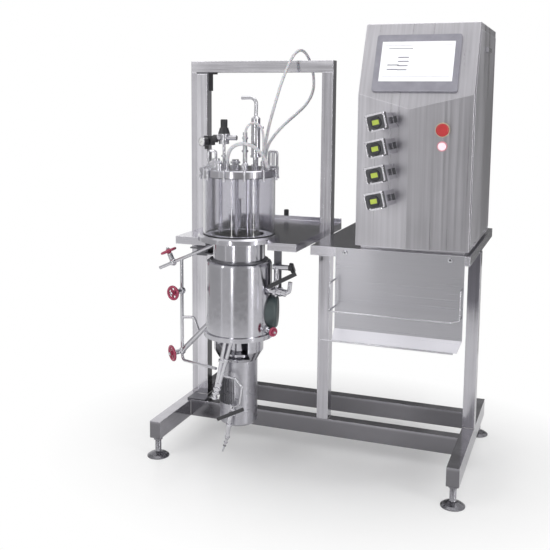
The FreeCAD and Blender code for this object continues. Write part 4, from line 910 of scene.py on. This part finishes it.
def make_handwheel_nuts():
    """Domed nut in the middle of each hand wheel."""
    radius, rise, chamfer = WHEEL_NUT
    for number in range(1, WHEEL_COUNT + 1):
        name = "handwheel_%d" % number
        joint = next(j for j in frame["joints"] if j["child"] == name)
        size = SMALL_SIZE if number == SMALL_WHEEL else 1.0
        axis = Vector(joint["axis"])
        face = facing(Vector(joint["pos_m"]) + axis * WHEEL_FRONT, axis)
        shape = bmesh.new()
        add_slab(shape, face, regular(radius * size, 6), rise, chamfer)
        add_lathe(shape, face, [(r * size, height) for r, height in WHEEL_DOME], 20)
        finish_piece(name + "_nut", shape, "fitting_steel", body=name)


GAUGE_AT = from_part(-362, -231, 1092)
GAUGE_OUT = Vector((-0.45, -0.89, 0)).normalized()
GAUGE_FRONT = 0.020                # from the gauge's middle to its dial
DIAL_RADIUS, DIAL_RISE = 0.0142, 0.0004
GAUGE_RIM = [(0.0142, -0.002), (0.0162, -0.002), (0.0162, 0.0012), (0.0154, 0.0018),
             (0.0142, 0.0012)]
TICKS = 25
LONG_TICK_EVERY = 6
TICKS_FROM, TICKS_SWEEP = 225, 270   # degrees
TICK_END = 0.0132                  # radius of the ticks' outer ends
LONG_TICK, SHORT_TICK, TICK_WIDTH, TICK_RISE = 0.0032, 0.0018, 0.0004, 0.0001
NEEDLE_TURN = math.radians(205)
NEEDLE = [(-0.003, -0.0006), (0.0105, -0.0002), (0.0105, 0.0002), (-0.003, 0.0006)]
NEEDLE_LIFT, NEEDLE_RISE = 0.0006, 0.0002


def make_gauge_dial():
    """White dial with ticks, figures left out, and its needle, in a steel rim."""
    face = facing(GAUGE_AT + GAUGE_OUT * GAUGE_FRONT, GAUGE_OUT)
    shape = bmesh.new()
    dial = [(0.0, 0.0), (DIAL_RADIUS, 0.0), (DIAL_RADIUS, DIAL_RISE), (0.0, DIAL_RISE)]
    add_lathe(shape, face, dial, 40)
    finish_piece("gauge_face", shape, "dial_white")
    shape = bmesh.new()
    add_lathe(shape, face, GAUGE_RIM, 40)
    finish_piece("gauge_rim", shape, "fitting_steel")
    shape = bmesh.new()
    for k in range(TICKS):
        angle = math.radians(TICKS_FROM - k * TICKS_SWEEP / (TICKS - 1))
        length = LONG_TICK if k % LONG_TICK_EVERY == 0 else SHORT_TICK
        place = moved(face @ Matrix.Rotation(angle, 4, "Z"), TICK_END - length / 2, 0, DIAL_RISE)
        add_slab(shape, place, rectangle(length, TICK_WIDTH), TICK_RISE)
    place = moved(face @ Matrix.Rotation(NEEDLE_TURN, 4, "Z"), 0, 0, NEEDLE_LIFT)
    add_slab(shape, place, NEEDLE, NEEDLE_RISE)
    finish_piece("gauge_marks", shape, "ink")


KNOB_RIBS = 20
KNOB_RADIUS = 0.0110
KNOB_RIB_FOOT = 0.025              # below the knob's top
KNOB_RIB = (0.0012, 0.0016, 0.023, 0.0003)   # its two widths, height and chamfer


def make_knob_ribs():
    """Grip ribs round the regulator's knob."""
    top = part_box("regulator_knob")[1].z
    foot = Matrix.Translation(plan_centre("regulator_knob") + UP * (top - KNOB_RIB_FOOT))
    width, depth, rise, chamfer = KNOB_RIB
    shape = bmesh.new()
    for angle in turns(KNOB_RIBS):
        place = moved(foot @ Matrix.Rotation(angle, 4, "Z"), KNOB_RADIUS, 0, 0)
        add_slab(shape, place, rectangle(width, depth), rise, chamfer)
    finish_piece("regulator_knob_ribs", shape, "black_plastic",
                 body="regulator_knob")


# millimetres: place from the vessel's axis, height above the lid, radius across the corners
PORT_NUTS = [(-58, -60, 20, 15), (-34, -88, 18, 12), (52, -86, 12, 10), (-88, -28, 12, 10),
             (12, 20, 96, 11), (-40, 60, 12, 15), (37.3, -37.4, 14, 8), (91, -15.1, 14, 8),
             (-16.4, -62.2, 14, 9), (80, 16, 20, 9)]
PORT_NUT_RISE, PORT_NUT_CHAMFER = 0.007, 0.001


def make_port_nuts():
    """Hexagon nuts on the lid's ports."""
    lid_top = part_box("lid")[1].z
    shape = bmesh.new()
    for x, y, height, radius in PORT_NUTS:
        place = Matrix.Translation(AXIS + Vector((x * MM, y * MM, lid_top + height * MM)))
        add_slab(shape, place, regular(radius * MM, 6), PORT_NUT_RISE, PORT_NUT_CHAMFER)
    finish_piece("port_nuts", shape, "fitting_steel")


# ---- studio ----------------------------------------------------------------------------------
MACHINE_MIDDLE = (0, 0, 0.75)
VESSEL_MIDDLE = (AXIS.x, AXIS.y, 0.75)
# each lamp's place, target, width, height and power
LAMPS = {
    "key": ((-2.2, -2.6, 2.6), MACHINE_MIDDLE, 1.6, 1.6, 34),
    "fill": ((3.0, -1.8, 1.8), MACHINE_MIDDLE, 1.4, 1.8, 14),
    "top": ((0, 0.4, 3.4), MACHINE_MIDDLE, 2.6, 2.0, 26),
    "strip_left": ((AXIS.x - 0.05, -3.0, 1.0), VESSEL_MIDDLE, 0.12, 2.4, 9),
    "strip_right": ((2.5, -1.3, 1.0), VESSEL_MIDDLE, 0.12, 2.4, 9),
}


def make_lights():
    """Large soft lamps at both sides and above, and two slim ones for streaks on round steel."""
    for name, (place, target, width, height, power) in LAMPS.items():
        data = bpy.data.lights.new(name, "AREA")
        data.shape = "RECTANGLE"
        data.size = width
        data.size_y = height
        data.energy = power
        aim = (Vector(target) - Vector(place)).to_track_quat("-Z", "Y")
        add_object(name, data).matrix_world = Matrix.Translation(place) @ aim.to_matrix().to_4x4()


WORLD_LIGHT = 0.55                 # strength of the surroundings as a light


def make_world():
    """White surroundings for camera, glossy and transmission rays, dimmer as a light."""
    world = bpy.data.worlds.new("studio")
    bpy.context.scene.world = world
    world.use_nodes = True
    nodes = Nodes(world.node_tree)
    background = nodes.tree.nodes["Background"]
    background.inputs["Color"].default_value = WHITE
    rays = nodes.add("LightPath").outputs
    seen = nodes.result("MAXIMUM", rays["Is Camera Ray"], rays["Is Glossy Ray"])
    seen = nodes.result("MAXIMUM", seen, rays["Is Transmission Ray"])
    strength = nodes.ramp(seen, WORLD_LIGHT, 1.0, 0.0, 1.0)
    nodes.link(strength, background.inputs["Strength"])


FLOOR_HALF = 30
FLOOR_STRETCH = (1, 1.25, 1)       # the fade is that much shorter in depth
FLOOR_KEPT = 0.15                  # share of white that the camera sees at the fade's start
CAMERA_FADE = (0.35, 1.05)         # distances at which the floor turns white for the camera
MIRROR_FADE = (1.2, 3.2)           # and in reflections


def make_floor():
    """Pale floor that fades into the white backdrop away from the machine. The grey round the
    machine is its real lit shading, and the fade that keeps it only there is a painted soft shadow.
    """
    size = FLOOR_HALF
    corners = [(-size, -size, 0), (size, -size, 0), (size, size, 0), (-size, size, 0)]
    mesh = bpy.data.meshes.new("floor")
    mesh.from_pydata(corners, [], [(0, 1, 2, 3)])
    floor = add_object("floor", mesh)
    nodes = Finish("floor_pale")
    nodes.set(Roughness=0.28, Specular_IOR_Level=0.35)
    speck = nodes.ramp(nodes.noise(6), 0.0, 1.0)
    nodes.color(nodes.mixed(speck, (0.90, 0.90, 0.90), (0.93, 0.93, 0.93)))
    reach = nodes.add("Mapping")
    reach.inputs["Scale"].default_value = FLOOR_STRETCH
    nodes.link(nodes.coords.outputs["Object"], reach.inputs["Vector"])
    length = nodes.add("VectorMath", operation="LENGTH")
    nodes.link(reach.outputs["Vector"], length.inputs[0])
    distance = length.outputs["Value"]
    rays = nodes.add("LightPath").outputs
    seen = nodes.result("MAXIMUM", rays["Is Camera Ray"], rays["Is Transmission Ray"])
    # painted soft shadow: near the machine the camera sees mostly the lit floor
    near = nodes.ramp(distance, FLOOR_KEPT, 1.0, *CAMERA_FADE)
    far = nodes.ramp(distance, 0.0, 1.0, *MIRROR_FADE)
    shown = nodes.result("MULTIPLY", near, seen)
    mirrored = nodes.result("MULTIPLY", far, rays["Is Glossy Ray"])
    share = nodes.result("MAXIMUM", shown, mirrored)
    glow = nodes.glow(WHITE)
    mix = nodes.add("MixShader")
    nodes.link(share, mix.inputs["Fac"])
    nodes.link(nodes.shader.outputs[0], mix.inputs[1])
    nodes.link(glow, mix.inputs[2])
    nodes.surface(mix.outputs[0])
    mesh.materials.append(nodes.material)


BOARD_RADIUS = 1.75
BOARD_LOW, BOARD_STEP, BOARD_HIGH = 0.02, 0.45, 2.7
BOARD_PANEL = 5                    # degrees that one flat panel of a board takes
# start and end of each board in degrees round the vessel, its brightness, its foot and its top
BOARDS = [(-86, -36, 0.42, BOARD_LOW, BOARD_HIGH), (-126, -94, 0.66, BOARD_LOW, BOARD_HIGH),
          (-200, -130, 0.55, BOARD_LOW, BOARD_HIGH), (-16, 42, 0.80, BOARD_LOW, BOARD_HIGH),
          (46, 58, 0.17, BOARD_LOW, BOARD_HIGH), (58, 78, 0.17, BOARD_STEP, BOARD_HIGH),
          (58, 78, 0.80, BOARD_LOW, BOARD_STEP), (78, 120, 0.12, BOARD_LOW, BOARD_HIGH)]


def make_boards():
    """Grey boards round the vessel, seen only in reflections."""
    for index, (start, end, tone, foot, top) in enumerate(BOARDS):
        name = "board_%d" % index
        grey = (tone, tone, tone)
        nodes = Finish(name)
        cloud = nodes.noise(0.8, detail=2.0)
        nodes.surface(nodes.glow(nodes.mixed(cloud, scaled(grey, 0.85), scaled(grey, 1.15))))
        count = max(2, (end - start) // BOARD_PANEL)
        corners = []
        for k in range(count + 1):
            angle = math.radians(start + (end - start) * k / count)
            place = AXIS + on_circle(1.0, angle) * BOARD_RADIUS
            corners += [tuple(place + UP * foot), tuple(place + UP * top)]
        mesh = bpy.data.meshes.new(name)
        panels = [(2 * k, 2 * k + 2, 2 * k + 3, 2 * k + 1) for k in range(count)]
        mesh.from_pydata(corners, [], panels)
        mesh.materials.append(nodes.material)
        board = add_object(name, mesh)
        board.visible_camera = False
        board.visible_diffuse = False
        board.visible_shadow = False
        board.visible_transmission = False


make_camera()
make_hose("vent_hose", VENT_ROUTE, 5.0)
make_hose("loop_hose", LOOP_ROUTE, 4.0)
make_hose("feed_hose", FEED_ROUTE, 6.0)
dress_nodes()
make_welds()
make_foot_threads()
make_rack_bolts()
make_pump_details()
make_motor_ribs()
make_nozzle_collars()
make_screen_details()
make_button_details()
make_vessel_welds()
make_handwheel_nuts()
make_gauge_dial()
make_knob_ribs()
make_port_nuts()
make_lights()
make_world()
make_floor()
make_boards()
bpy.context.scene.view_settings.view_transform = "Standard"
